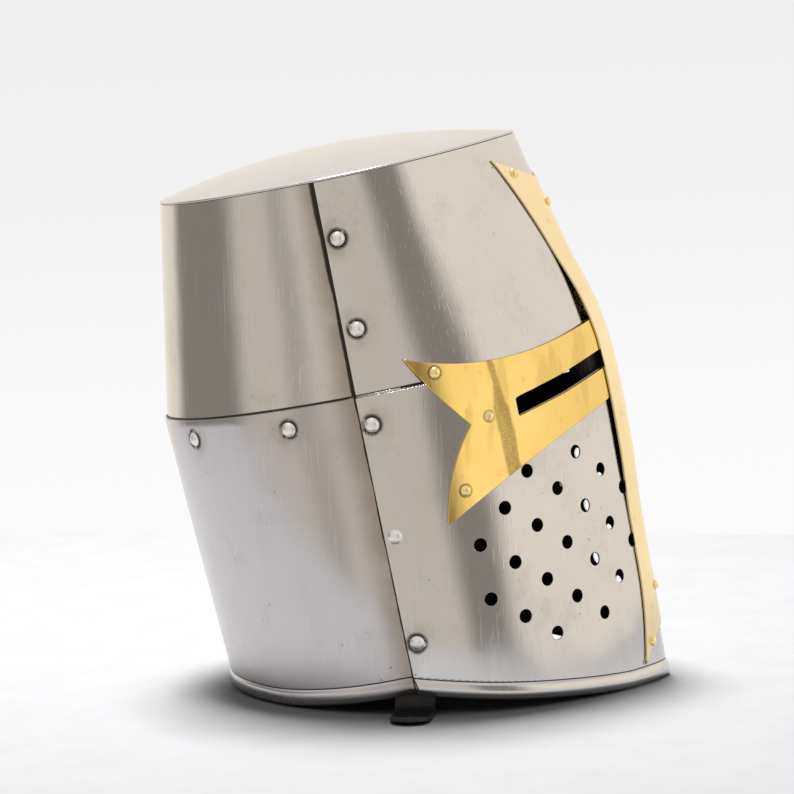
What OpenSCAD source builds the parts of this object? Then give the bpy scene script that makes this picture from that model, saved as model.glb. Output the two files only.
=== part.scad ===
// Great helm: riveted sheet steel walls under a domed top plate, a brass cross with sight slits,
// a leather head liner and a chin strap with a buckle. Millimetres.
// The helm frame has its height axis along the head, with height 0 at the brow seam, the face towards -Y
// and the wearer's right towards -X. stand() leans that frame back onto the rim, which is the row frame.

/* [Walls] */
// Half width of the wall at the brow seam
brow_half_w = 101; // [96:0.5:106]
// Distance from the middle to the ridge at the brow seam
brow_ridge = 130.4; // [124:0.2:136]
// Distance from the middle to the rear at the brow seam
brow_rear = 120.5; // [115:0.5:126]
// Half width of the wall under the top plate
top_half_w = 91; // [86:0.5:95]
// Distance from the middle to the ridge under the top plate
top_ridge = 102.3; // [98:0.1:106]
// Distance from the middle to the rear under the top plate
top_rear = 98; // [94:0.5:102]
// Height of the walls above the brow seam
top_h = 117.6; // [112:0.1:122]
// Rise of the domed top plate at its middle
dome_rise = 12; // [8:0.5:15]
// Angle of each half of the front ridge from straight across
ridge_angle = 22; // [18:1:25]
// Thickness of the steel and brass sheet
sheet_t = 1.2; // [1:0.1:1.4]

/* [Rim] */
// Angle at which the helm leans back when it stands on its rim
lean = 9.7; // [9:0.1:10.5]
// Height of the brow seam's middle above the standing plane, along the helm
stand_drop = 173.9; // [170:0.1:178]
// Height of the rim's arch over each shoulder
arch_rise = 11.4; // [8:0.2:13]
// Height of the rolled bead along the rim
bead_h = 10; // [8:0.5:12]
// How far the bead stands proud of the wall
bead_out = 2.2; // [1:0.1:2.5]

/* [Sights and breaths] */
// Height of the sight slit
sight_h = 10; // [8:0.5:11]
// Diameter of a breath hole
breath_d = 7.2; // [6:0.2:8]
// Half the spacing of the breath lattice, round the wall
breath_step_w = 18.2; // [16:0.2:19]
// Half the spacing of the breath lattice, up the wall
breath_step_h = 15; // [14:0.2:16]

/* [Rivets] */
// Radius of a steel rivet head
steel_head_r = 4.3; // [4:0.1:5]
// Radius of a brass rivet head
brass_head_r = 3.3; // [3:0.1:3.6]

/* [Chin strap] */
// Width of the strap
strap_w = 22; // [18:1:24]
// Thickness of the strap leather
strap_t = 2.2; // [2:0.1:2.4]
// Length of the right strap's loose tail
tail_len = 23; // [23:1:36]
// Radius of the buckle wire
wire_r = 1.4; // [1.2:0.1:1.5]

/* [Hidden] */
RIGHT = -1;
LEFT = 1;
STEEL = "#a9a6a3";
BRASS = "#c9a24a";
LEATHER = "#1b1a19";
sheet_gap = 0.2;
pitch = sheet_t + sheet_gap; // from one sheet's inner face to the next one's
foot_dims = [100, 126, 112.7]; // wall half width, ridge and rear at foot_h under the brow seam
foot_h = 194;
brow_dims = [brow_half_w, brow_ridge, brow_rear];
top_dims = [top_half_w, top_ridge, top_rear];
q_step = 0.05; // a quarter of the wall's outline is 1 in q: 0 ridge, 1 side, 2 rear
seam_q = 0.985;
lap_q = 0.13;
under_h = -22; // lower edge of the upper plates, under the lower ones
brow_h = 1; // top edge of the lower plates
round_fn = 32;

// ---- Curves and surfaces ----
function mix(a, b, t) = a + (b - a) * t;
function smooth(t) = let(c = max(0, min(1, t))) c * c * (3 - 2 * c);
function unit(v) = v / norm(v);
function bezier(p, t) =
    pow(1 - t, 3) * p[0] + 3 * pow(1 - t, 2) * t * p[1] + 3 * (1 - t) * t * t * p[2] + pow(t, 3) * p[3];

// [half width, ridge, rear] of the walls' inner face at height h
function wall_dims(h) =
    h >= 0 ? mix(brow_dims, top_dims, h / top_h) : mix(brow_dims, foot_dims, -h / foot_h);

// Plan outline of one half, from the ridge round the side to the rear
function outline(q, d) = q <= 1
    ? bezier([[0, -d[1]], [d[0] / 2, -d[1] + d[0] / 2 * tan(ridge_angle)], [d[0], -d[1] / 2], [d[0], 0]], q)
    : bezier([[d[0], 0], [d[0], 0.56 * d[2]], [0.56 * d[0], d[2]], [0, d[2]]], q - 1);

function on_wall(q, h, off) =
    let(p = outline(abs(q), wall_dims(h) + [off, off, off])) [sign(q) * p[0], p[1], h];
function wall_normal(q, h, off) = unit(cross(on_wall(q + 0.01, h, off) - on_wall(q - 0.01, h, off),
    on_wall(q, h + 1, off) - on_wall(q, h - 1, off)));

// q values from a to b, both ends included
function span(a, b, step = q_step) = let(n = max(1, round(abs(b - a) / step)))
    [for (i = [0:n]) mix(a, b, i / n)];
function front_qs() = span(-seam_q, seam_q, seam_q / 20);
// With a flat across the rear's middle
function rear_qs(n = 23) = let(a = seam_q - lap_q, d = (2 - a) / (n - 0.5))
    concat([for (i = [0:n - 1]) a + i * d], [for (i = [n - 1:-1:0]) -a - i * d]);

// ---- Sheet solids ----
// A closed sheet between two grids of points, given as rows, outer and inner
// A ring's last column meets its first
module sheet_solid(outer, inner, ring = false) {
    rows = len(outer);
    cols = len(outer[0]);
    n = rows * cols;
    last = ring ? cols - 1 : cols - 2;
    function at(i, j) = i * cols + j % cols;
    outer_faces = [for (i = [0:rows - 2], j = [0:last])
        each [[at(i, j), at(i + 1, j), at(i + 1, j + 1)], [at(i, j), at(i + 1, j + 1), at(i, j + 1)]]];
    inner_faces = [for (f = outer_faces) [f[2] + n, f[1] + n, f[0] + n]];
    side_rows = [for (j = [0:last]) each [
        [at(0, j), at(0, j + 1), at(0, j + 1) + n], [at(0, j), at(0, j + 1) + n, at(0, j) + n],
        [at(rows - 1, j + 1), at(rows - 1, j), at(rows - 1, j) + n],
        [at(rows - 1, j + 1), at(rows - 1, j) + n, at(rows - 1, j + 1) + n]]];
    side_cols = [for (i = [0:rows - 2]) each [
        [at(i + 1, 0), at(i, 0), at(i, 0) + n], [at(i + 1, 0), at(i, 0) + n, at(i + 1, 0) + n],
        [at(i, cols - 1), at(i + 1, cols - 1), at(i + 1, cols - 1) + n],
        [at(i, cols - 1), at(i + 1, cols - 1) + n, at(i, cols - 1) + n]]];
    polyhedron(points = concat([for (r = outer) each r], [for (r = inner) each r]),
        faces = concat(outer_faces, inner_faces, side_rows, ring ? [] : side_cols), convexity = 8);
}

// How far each plate stands off to pass over the ones beneath it
function over_rear(q) = smooth((abs(q) - 0.45) / 0.39);
function upper_front_off(q) = pitch * over_rear(q);
function lower_rear_off(q) = pitch * (1 + smooth((1.35 - abs(q)) / 0.35));
function lower_front_off(q) = pitch * (1 + 2 * over_rear(q));
function arm_off(q) = lower_front_off(q) + pitch;

// Height of the rim under a point at depth y, and of the arch that rises over each shoulder
function arch(y) = arch_rise * (y < 0 ? max(0, 1 + y / 110) : pow(max(0, 1 - y / 80), 1.5));
function rim_h(q, off, h = -stand_drop, steps = 3) =
    let(y = on_wall(q, h, off)[1], next = -stand_drop + y * tan(lean) + arch(y))
    steps == 0 ? next : rim_h(q, off, next, steps - 1);

// [height over the rim, stand-off] of the rolled bead, from its crease down
bead = [for (d = [1, 0.85, 0.6, 0.35, 0.15, 0])
    [d * bead_h, bead_out * (d < 0.4 ? 0.2 + 2 * d * (2.2 - 2 * d) / 1.21 * 0.8 : cos((d - 0.4) * 150))]];

// ---- Placing ----
module stand() translate([0, stand_y, stand_z]) rotate([-lean, 0, 0]) children();
stand_z = stand_drop * cos(lean);
stand_y = 18.5;
function stood(p) = [p[0], stand_y + p[1] * cos(lean) + p[2] * sin(lean),
    stand_z - p[1] * sin(lean) + p[2] * cos(lean)];
module along(p, n) translate(p) rotate([0, acos(n[2]), atan2(n[1], n[0])]) children();

// ---- Rivets ----
steel_shank_r = 2.4;
steel_head_h = 2.6;
brass_shank_r = 1.6;
brass_head_h = 2.2;
tail_h = 1.3;
hole_slack = 0.05;
seat_gap = 0.2; // keeps a flat rivet seat off a curved sheet
liner_gap = 0.3;
liner_t = 2;
through_liner = liner_gap + liner_t + 0.7;

upper_seam_rivets = [[0.942, 86], [0.942, 37]];
lower_seam_rivets = [[0.955, -135]];
strap_rivet_at = [0.955, -76];
corner_rivet_at = [0.955, -14.5];
brow_rivets_at = [[1.19, -9.5], [1.58, -9.5], [2, -9.5], [-1.58, -9.5], [-1.19, -9.5]];
arm_rivets_at = [[0.75, 6], [0.611, -24], [0.73, -59.8]];

module dome(r, h) {
    ball = (r * r + h * h) / (2 * h);
    intersection() {
        translate([0, 0, h - ball]) sphere(r = ball, $fn = round_fn);
        cylinder(r = r, h = h + 1, $fn = round_fn);
    }
}

// A rivet with its head's seat at the origin, its shank running down through grip
module rivet(head_r, head_h, shank_r, grip) {
    dome(head_r, head_h);
    translate([0, 0, -grip]) cylinder(r = shank_r, h = grip + 0.5, $fn = round_fn);
    translate([0, 0, -grip]) mirror([0, 0, 1]) dome(shank_r * 1.5, tail_h);
}
// Its axis is that of wall_hole(), and its head sits at the off of the outermost sheet
module wall_rivet(at, outer, inner, head_r, head_h, shank_r) {
    n = wall_normal(at[0], at[1], 0);
    p = on_wall(at[0], at[1], 0);
    seat = (on_wall(at[0], at[1], outer) - p) * n + seat_gap;
    along(p + seat * n, n) rivet(head_r, head_h, shank_r, outer - inner + 2 * seat_gap);
}
module wall_hole(at, r) along(on_wall(at[0], at[1], 0), wall_normal(at[0], at[1], 0))
    translate([0, 0, -10]) cylinder(r = r + hole_slack, h = 25, $fn = round_fn);
module both_sides(list, r) for (a = list, s = [-1, 1]) wall_hole([s * a[0], a[1]], r);

// ---- Sight slits and breaths ----
sight_line = [[-82.5, -28.3], [-105.5, -23.4], [-126.5, -17]]; // its lower edge climbs towards the ridge
module sight_cut(grow) rotate([90, 0, 90]) translate([0, 0, -120]) linear_extrude(240)
    polygon(concat([for (p = sight_line) p - [0, grow]],
        [for (i = [2:-1:0]) sight_line[i] + [0, sight_h]]));

breath_mid = [0.409, -102.5];
breath_skew = 1; // the rows that climb to the rear are this much closer to level than the others
arc_per_q = 178; // arc length of the wall per unit of q round the lattice's middle
module breath_cuts() {
    for (i = [-2:2], j = [-2:2], s = [-1, 1])
        if (abs(i) + abs(j) < 4)
            wall_hole([s * (breath_mid[0] + (j - i) * breath_step_w / arc_per_q),
                breath_mid[1] - (i + j) * breath_step_h + (i - j) * breath_skew], breath_d / 2 - hole_slack);
}

// ---- Wall plates ----
module upper_rear_plate() color(STEEL) difference() {
    rows = [top_h, top_h / 2, 0, under_h];
    sheet_solid([for (h = rows) [for (q = rear_qs()) on_wall(q, h, sheet_t)]],
        [for (h = rows) [for (q = rear_qs()) on_wall(q, h, 0)]]);
    both_sides(upper_seam_rivets, steel_shank_r);
    both_sides([corner_rivet_at], steel_shank_r);
    for (a = brow_rivets_at) wall_hole(a, steel_shank_r);
}

module upper_front_plate() color(STEEL) difference() {
    rows = [top_h, top_h / 2, 0, under_h];
    sheet_solid([for (h = rows) [for (q = front_qs()) on_wall(q, h, upper_front_off(q) + sheet_t)]],
        [for (h = rows) [for (q = front_qs()) on_wall(q, h, upper_front_off(q))]]);
    both_sides(upper_seam_rivets, steel_shank_r);
    both_sides([corner_rivet_at], steel_shank_r);
    both_sides([arm_rivets_at[0]], brass_shank_r);
    sight_cut(0.4);
    bar_rivet_holes(BAR_TOP_RIVETS);
}

// Rows of a lower plate at q: down the wall to the crease, then round the bead to the rim
function lower_column(q, off, thick) = concat(
    [for (h = [brow_h, 0, (rim_h(q, off) + bead_h) / 2]) on_wall(q, h, off + thick)],
    [for (b = bead) on_wall(q, rim_h(q, off + b[1] + thick) + b[0], off + b[1] + thick)]);
function columns_to_rows(c) = [for (i = [0:len(c[0]) - 1]) [for (j = [0:len(c) - 1]) c[j][i]]];

module lower_rear_plate() color(STEEL) difference() {
    sheet_solid(columns_to_rows([for (q = rear_qs()) lower_column(q, lower_rear_off(q), sheet_t)]),
        columns_to_rows([for (q = rear_qs()) lower_column(q, lower_rear_off(q), 0)]));
    both_sides([corner_rivet_at], steel_shank_r);
    both_sides(lower_seam_rivets, steel_shank_r);
    for (a = brow_rivets_at) wall_hole(a, steel_shank_r);
    strap_rivet_holes();
}

module lower_front_plate() color(STEEL) difference() {
    sheet_solid(columns_to_rows([for (q = front_qs()) lower_column(q, lower_front_off(q), sheet_t)]),
        columns_to_rows([for (q = front_qs()) lower_column(q, lower_front_off(q), 0)]));
    both_sides([corner_rivet_at], steel_shank_r);
    both_sides(lower_seam_rivets, steel_shank_r);
    both_sides([arm_rivets_at[1], arm_rivets_at[2]], brass_shank_r);
    strap_rivet_holes();
    sight_cut(-0.8);
    breath_cuts();
    bar_rivet_holes(BAR_FOOT_RIVETS);
}

// ---- Top plate ----
function top_off(q) = sheet_t + pitch * (over_rear(q) - smooth((abs(q) - seam_q) / 0.06));
module top_plate() color(STEEL) domed_top();
module domed_top() {
    qs = [for (q = span(-2, 2, 0.08)) if (q > -1.999) q];
    rings = [1, 0.98, 0.85, 0.65, 0.4, 0.15];
    function edge(q) = on_wall(q, top_h, top_off(q));
    function lift(r) = r > 0.97 ? 0 : dome_rise * (1 - r * r);
    function ring(r, drop) = [for (q = qs)
        [edge(q)[0] * r, edge(q)[1] * r, top_h + sheet_t + sheet_gap / 2 + lift(r) + (1 - r) * 0.4 - drop]];
    n = len(qs);
    m = len(rings);
    points = concat([for (r = rings) each ring(r, 0)], [for (r = rings) each ring(r, sheet_t)]);
    function at(i, j) = i * n + j % n;
    over = [for (i = [0:m - 2], j = [0:n - 1])
        each [[at(i, j), at(i + 1, j + 1), at(i + 1, j)], [at(i, j), at(i, j + 1), at(i + 1, j + 1)]]];
    under = [for (f = over) [f[2] + n * m, f[1] + n * m, f[0] + n * m]];
    edge_faces = [for (j = [0:n - 1]) each [
        [at(0, j) + n * m, at(0, j + 1), at(0, j)], [at(0, j) + n * m, at(0, j + 1) + n * m, at(0, j + 1)]]];
    cap = [for (j = [0:n - 1]) at(m - 1, j)];
    cap_under = [for (j = [n - 1:-1:0]) at(m - 1, j) + n * m];
    polyhedron(points = points, faces = concat(over, under, edge_faces, [cap, cap_under]), convexity = 4);
}

// ---- Brass cross ----
function curve(a, b, c, n = 8) = [for (i = [0:n])
    let(t = i / n) pow(1 - t, 2) * a + 2 * t * (1 - t) * b + t * t * c];
arm_outline = concat(
    curve([-133, 13.5], [-84, -6], [-31, 16.6], 4), // upper edge, from the ridge back to the tip
    curve([-40, -1], [-46, -11], [-58, -26], 2), // into the fishtail's notch
    curve([-50, -34], [-42, -52], [-37, -76], 2),
    curve([-56, -66], [-85, -53], [-133, -31.5], 2)); // lower edge, back to the ridge

// The right arm, wrapped round the wall and cut to its outline
module arm_blank() {
    qs = span(-0.92, -0.04, 0.04);
    hs = [24, 0, -40, -82];
    intersection() {
        sheet_solid([for (h = hs) [for (q = qs) on_wall(q, h, arm_off(q) + sheet_t)]],
            [for (h = hs) [for (q = qs) on_wall(q, h, arm_off(q))]]);
        rotate([90, 0, 90]) translate([0, 0, -130]) linear_extrude(129.7) polygon(arm_outline);
    }
}
module cross_arm_right() color(BRASS) difference() {
    arm_blank();
    sight_cut(0);
    for (a = arm_rivets_at) wall_hole([-a[0], a[1]], brass_shank_r);
}
module cross_arm_left() mirror([1, 0, 0]) cross_arm_right();

bar_waist = 15.6;
bar_top = 107;
bar_foot = -185;
// Stand-off of the bar along the ridge: it climbs over the arms and comes down to be riveted
function bar_off(h) = pitch * (1 + smooth((55 - h) / 45) * 2 - smooth((-62 - h) / 40));
function bar_ridge(h, off) = [0, -wall_dims(h)[1] - bar_off(h) - off, h];
function bar_point(x, h, off) =
    bar_ridge(h, off / cos(ridge_angle)) + [x, abs(x) * tan(ridge_angle), 0];
// Each row runs straight from the bar's edge to the ridge: [half width, height at the edge, at the ridge]
bar_rows = [[33.5, 107, 91], [27, 90, 84], [21.5, 70, 70], [18.3, 50, 50], [16.6, 30, 30], [15.6, 10, 10],
    [15.6, 0, 0], [15.6, -60, -60], [15.6, -100, -100], [15.7, -130, -130],
    [18.3, -160, -152], [24.3, -183, -162]];
function bar_row(r, off) = [for (s = [-1, 0, 1]) bar_point(s * r[0], s == 0 ? r[2] : r[1], off)];
module cross_bar() color(BRASS) difference() {
    sheet_solid([for (r = bar_rows) bar_row(r, sheet_t)], [for (r = bar_rows) bar_row(r, 0)]);
    bar_rivet_holes(BAR_TOP_RIVETS);
    bar_rivet_holes(BAR_FOOT_RIVETS);
}

BAR_TOP_RIVETS = [[-21.5, 97], [21.5, 97], [0, 77]];
BAR_FOOT_RIVETS = [[-16, -172], [16, -172], [0, -144]];
function bar_normal(x, h) = unit(cross([1, sign(x) * tan(ridge_angle), 0],
    bar_point(0, h + 1, 0) - bar_point(0, h - 1, 0)));
module bar_rivet_holes(list) for (a = list)
    along(bar_point(a[0], a[1], 0), bar_normal(a[0], a[1])) translate([0, 0, -12])
        cylinder(r = brass_shank_r + hole_slack, h = 24, $fn = round_fn);
module bar_rivets(list, inner) color(BRASS) for (a = list)
    along(bar_point(a[0], a[1], 0) + (sheet_t + seat_gap) * bar_normal(a[0], a[1]), bar_normal(a[0], a[1]))
        rivet(brass_head_r, brass_head_h, brass_shank_r, bar_off(a[1]) - inner + sheet_t + 2.2);

// ---- Rivet groups ----
module side_rivets(list, side, outer, inner) color(STEEL) for (a = list)
    wall_rivet([side * a[0], a[1]], outer, inner, steel_head_r, steel_head_h, steel_shank_r);
module upper_seam_rivets(side) side_rivets(upper_seam_rivets, side, pitch + sheet_t, 0);
module lower_seam_rivets(side) {
    side_rivets(lower_seam_rivets, side, 3 * pitch + sheet_t, 2 * pitch);
    side_rivets([corner_rivet_at], side, 3 * pitch + sheet_t, -through_liner);
}
module brow_rivets() color(STEEL) for (a = brow_rivets_at)
    wall_rivet(a, lower_rear_off(a[0]) + sheet_t, -through_liner, steel_head_r, steel_head_h, steel_shank_r);
module arm_rivets(side) color(BRASS) for (a = arm_rivets_at)
    wall_rivet([side * a[0], a[1]], arm_off(a[0]) + sheet_t,
        a[1] > 0 ? upper_front_off(a[0]) : lower_front_off(a[0]), brass_head_r, brass_head_h, brass_shank_r);

// ---- Chin strap ----
strap_bend_r = 9;
strap_foot = 0.2; // the leather's clearance over the standing surface
spacer_t = 3;
spacer_gap = 0.6;
spacer_r = 5;
strap_seat = on_wall(strap_rivet_at[0], strap_rivet_at[1], 2 * pitch);
strap_pivot = stood([0, strap_seat[1], strap_seat[2]]);
// Middle of the hanging leather, from the mirror plane
strap_x = strap_seat[0] - spacer_t - spacer_gap - 0.2 - strap_t / 2;
lie_z = strap_foot + strap_t / 2; // middle of the leather where it lies flat
hinge_run = 2.2;
lap = 0.3; // overlap of pieces that are one solid
bend_x = strap_x + strap_bend_r + hinge_run; // hinge line of the tail
tail_slack = 0.15;

module strap_rivet_holes() unstand() for (s = [-1, 1]) translate(strap_pivot + [s * 90, 0, 0])
    rotate([0, s * 90, 0]) cylinder(r = steel_shank_r + hole_slack, h = 30, $fn = round_fn);
module unstand() rotate([lean, 0, 0]) translate([0, -stand_y, -stand_z]) children();

// Side view of the hanging leather: down the wall, then out under the rim to the tail's hinge
module strap_side() {
    translate([strap_x - strap_t / 2, lie_z + strap_bend_r - lap])
        square([strap_t, strap_pivot[2] + strap_w / 2 - lie_z - strap_bend_r + lap]);
    intersection() {
        translate([strap_x + strap_bend_r, lie_z + strap_bend_r]) difference() {
            circle(r = strap_bend_r + strap_t / 2, $fn = 64);
            circle(r = strap_bend_r - strap_t / 2, $fn = 64);
        }
        translate([strap_x - strap_t, 0]) square([strap_bend_r + strap_t, lie_z + strap_bend_r]);
    }
    difference() {
        translate([strap_x + strap_bend_r - lap, lie_z - strap_t / 2]) square([hinge_run + lap, strap_t]);
        translate([bend_x, lie_z]) circle(r = strap_t / 2 + tail_slack, $fn = round_fn);
    }
}
module chin_strap_left() color(LEATHER) difference() {
    intersection() {
        translate([0, strap_pivot[1] + strap_w / 2, 0])
            rotate([90, 0, 0]) linear_extrude(strap_w) strap_side();
        union() {
            translate([80, strap_pivot[1], strap_pivot[2]]) rotate([0, 90, 0])
                cylinder(r = strap_w / 2, h = 60, $fn = 64);
            translate([80, strap_pivot[1] - strap_w / 2, -1]) cube([60, strap_w, strap_pivot[2] + 1]);
        }
    }
    translate([80, strap_pivot[1], strap_pivot[2]]) rotate([0, 90, 0])
        cylinder(r = steel_shank_r + hole_slack, h = 40, $fn = round_fn);
}
module chin_strap_right() mirror([1, 0, 0]) chin_strap_left();

module tail_end() translate([bend_x, strap_pivot[1] + strap_w / 2, lie_z]) rotate([90, 0, 0])
    cylinder(r = strap_t / 2, h = strap_w, $fn = round_fn);

module strap_tail_right() color(LEATHER) mirror([1, 0, 0]) difference() {
    union() {
        tail_end();
        translate([bend_x, strap_pivot[1] - strap_w / 2, lie_z - strap_t / 2])
            cube([tail_len - strap_w / 2, strap_w, strap_t]);
        translate([bend_x + tail_len - strap_w / 2, strap_pivot[1], lie_z - strap_t / 2])
            cylinder(r = strap_w / 2, h = strap_t, $fn = 64);
    }
    translate([bend_x + 10, strap_pivot[1], -1]) cylinder(r = 1.6, h = 6, $fn = round_fn);
}

bar_slack = 0.07;
fold_r = wire_r + bar_slack + strap_t * 0.95;
bar_x = bend_x + 19; // buckle's heel bar
bar_z = strap_foot + fold_r;
prong_slot = 4.6;
module strap_tail_left() color(LEATHER) difference() {
    union() {
        tail_end();
        translate([0, strap_pivot[1] + strap_w / 2, 0]) rotate([90, 0, 0]) linear_extrude(strap_w) {
            translate([bend_x, lie_z - strap_t / 2]) square([6, strap_t]);
            polygon([[bend_x + 5, strap_foot], [bar_x, strap_foot], [bar_x, bar_z + fold_r],
                [bend_x + 9, strap_foot + 2.1 * strap_t], [bend_x + 5, strap_foot + 2.1 * strap_t]]);
            translate([bar_x, bar_z]) circle(r = fold_r, $fn = 48);
        }
    }
    translate([bar_x, strap_pivot[1] + strap_w, bar_z]) rotate([90, 0, 0])
        cylinder(r = wire_r + bar_slack, h = 2 * strap_w, $fn = round_fn);
    translate([bar_x - 7, strap_pivot[1] - prong_slot / 2, -1]) cube([20, prong_slot, 12]);
}

// ---- Buckle ----
frame_half_w = 14;
frame_len = 22;
prong_r = 1.1;
eye_r = wire_r + bar_slack + 1.3;
droop = asin((bar_z - wire_r - strap_foot) / frame_len);
module at_heel_bar() translate([bar_x, strap_pivot[1], bar_z]) rotate([0, droop, 0]) children();
module wire(a, b) {
    d = b - a;
    along(a, unit(d)) cylinder(r = wire_r, h = norm(d), $fn = round_fn);
    translate(a) sphere(r = wire_r, $fn = round_fn);
}
module buckle_frame() color("#8a8a8a") at_heel_bar() {
    corners = [[0, -frame_half_w, 0], [frame_len, -frame_half_w, 0], [frame_len, frame_half_w, 0],
        [0, frame_half_w, 0]];
    for (i = [0:3]) wire(corners[i], corners[(i + 1) % 4]);
}
module buckle_prong() color("#8a8a8a") at_heel_bar() {
    lift = wire_r + prong_r + 0.1;
    difference() {
        union() {
            translate([0, 1.6, 0]) rotate([90, 0, 0]) cylinder(r = eye_r, h = 3.2, $fn = round_fn);
            along([0, 0, lift - 0.4], unit([frame_len + 2, 0, 0.4]))
                cylinder(r = prong_r, h = frame_len + 2.5, $fn = round_fn);
        }
        translate([0, 5, 0]) rotate([90, 0, 0]) cylinder(r = wire_r + bar_slack, h = 10, $fn = round_fn);
    }
}

module strap_rivet_left() color(STEEL)
    translate([strap_seat[0] + pitch + sheet_t + 0.35, strap_pivot[1], strap_pivot[2]]) rotate([0, 90, 0])
        rivet(steel_head_r, steel_head_h, steel_shank_r,
            pitch + sheet_t + 0.35 + spacer_gap + spacer_t + 0.4 + strap_t);
module strap_spacer_left() color(LEATHER)
    translate([strap_seat[0] - spacer_t - spacer_gap, strap_pivot[1], strap_pivot[2]]) rotate([0, 90, 0])
        difference() {
            cylinder(r = spacer_r, h = spacer_t, $fn = round_fn);
            translate([0, 0, -1]) cylinder(r = steel_shank_r + hole_slack, h = spacer_t + 2, $fn = round_fn);
        }

// ---- Liner ----
band_out = liner_gap;
function liner_outline(q, d) = q <= 1
    ? bezier([[0, -d[1] + 15], [0.55 * d[0], -d[1] + 15], [d[0], -d[1] / 2 + 6], [d[0], 0]], q)
    : outline(q, d);
function on_liner(q, h, off) =
    let(p = liner_outline(abs(q), wall_dims(h) - [off, off, off])) [sign(q) * p[0], p[1], h];
function forehead(q) = smooth((0.94 - abs(q)) / 0.14);
function band_low(q) = -20 + 35 * forehead(q);
function band_high(q) = 26 + 24 * forehead(q);
round_qs = [for (q = span(-2, 2, 0.08)) if (q > -1.999) q];

module liner_headband() color(LEATHER) difference() {
    ts = [0, 0.5, 1];
    sheet_solid([for (t = ts) [for (q = round_qs) on_liner(q, mix(band_high(q), band_low(q), t), band_out)]],
        [for (t = ts) [for (q = round_qs)
            on_liner(q, mix(band_high(q), band_low(q), t), band_out + liner_t)]],
        ring = true);
    for (a = brow_rivets_at) wall_hole(a, steel_shank_r);
    both_sides([corner_rivet_at], steel_shank_r);
}

crown_h = 96;
petal_gap = 1.6;
crown_share = 0.2; // how near the petals' tips come to the middle
// A petal's point: u across it from -1 to 1, v up it from 0 to 1
function petal_point(mid, u, v, off) =
    let(half = 0.315 * (1 - 0.3 * v * v), q0 = mid + half * u, q = abs(q0) > 2 ? q0 - sign(q0) * 4 : q0,
        base_h = band_high(q) - 12, base = on_liner(q, base_h, band_out + liner_t + petal_gap + off),
        share = crown_share + (1 - crown_share) * cos(90 * v))
    [base[0] * share, (base[1] + 4) * share - 4, mix(base_h, crown_h, sin(90 * v)) - off * sin(90 * v)];
module petal(mid) color(LEATHER) {
    us = span(-1, 1, 0.25);
    vs = span(1, 0, 1 / 8);
    sheet_solid([for (v = vs) [for (u = us) petal_point(mid, u, v, 0)]],
        [for (v = vs) [for (u = us) petal_point(mid, u, v, liner_t)]]);
}
module liner_crown_patch() color(LEATHER)
    translate([0, -4, crown_h + 0.6]) cylinder(r = 30, h = liner_t, $fn = 64);

stand() top_plate();
stand() upper_rear_plate();
stand() upper_front_plate();
stand() lower_rear_plate();
stand() lower_front_plate();
stand() cross_arm_right();
stand() cross_arm_left();
stand() cross_bar();
stand() upper_seam_rivets(RIGHT);  // upper_seam_rivets_right
stand() upper_seam_rivets(LEFT);  // upper_seam_rivets_left
stand() lower_seam_rivets(RIGHT);  // lower_seam_rivets_right
stand() lower_seam_rivets(LEFT);  // lower_seam_rivets_left
stand() brow_rivets();
stand() arm_rivets(RIGHT);  // arm_rivets_right
stand() arm_rivets(LEFT);  // arm_rivets_left
stand() bar_rivets(BAR_TOP_RIVETS, 0);  // bar_rivets_top
stand() bar_rivets(BAR_FOOT_RIVETS, pitch);  // bar_rivets_bottom
mirror([1, 0, 0]) strap_rivet_left();  // strap_rivet_right
strap_rivet_left();
mirror([1, 0, 0]) strap_spacer_left();  // strap_spacer_right
strap_spacer_left();
stand() liner_headband();
stand() petal(0);  // liner_petal_front
stand() petal(-2 / 3);  // liner_petal_right_front
stand() petal(-4 / 3);  // liner_petal_right_rear
stand() petal(2);  // liner_petal_rear
stand() petal(4 / 3);  // liner_petal_left_rear
stand() petal(2 / 3);  // liner_petal_left_front
stand() liner_crown_patch();
chin_strap_right();
chin_strap_left();
strap_tail_right();
strap_tail_left();
buckle_frame();
buckle_prong();
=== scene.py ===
import math

import bpy
import numpy as np
from mathutils import Matrix, Vector
from mathutils.geometry import delaunay_2d_cdt


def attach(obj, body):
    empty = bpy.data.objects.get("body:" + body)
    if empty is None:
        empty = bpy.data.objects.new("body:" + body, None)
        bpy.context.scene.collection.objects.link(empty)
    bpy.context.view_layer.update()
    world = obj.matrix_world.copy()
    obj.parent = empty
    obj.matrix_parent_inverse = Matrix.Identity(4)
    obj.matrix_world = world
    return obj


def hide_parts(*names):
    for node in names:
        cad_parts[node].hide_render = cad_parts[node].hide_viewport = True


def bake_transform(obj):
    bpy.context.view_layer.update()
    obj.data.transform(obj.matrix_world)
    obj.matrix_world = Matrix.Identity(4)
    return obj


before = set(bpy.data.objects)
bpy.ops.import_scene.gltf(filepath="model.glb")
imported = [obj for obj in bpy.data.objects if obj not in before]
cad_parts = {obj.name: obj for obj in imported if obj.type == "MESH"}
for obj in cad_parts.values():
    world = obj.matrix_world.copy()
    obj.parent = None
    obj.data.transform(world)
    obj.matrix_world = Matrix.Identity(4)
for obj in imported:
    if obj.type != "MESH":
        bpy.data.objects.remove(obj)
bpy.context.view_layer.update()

MM = 0.001

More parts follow.
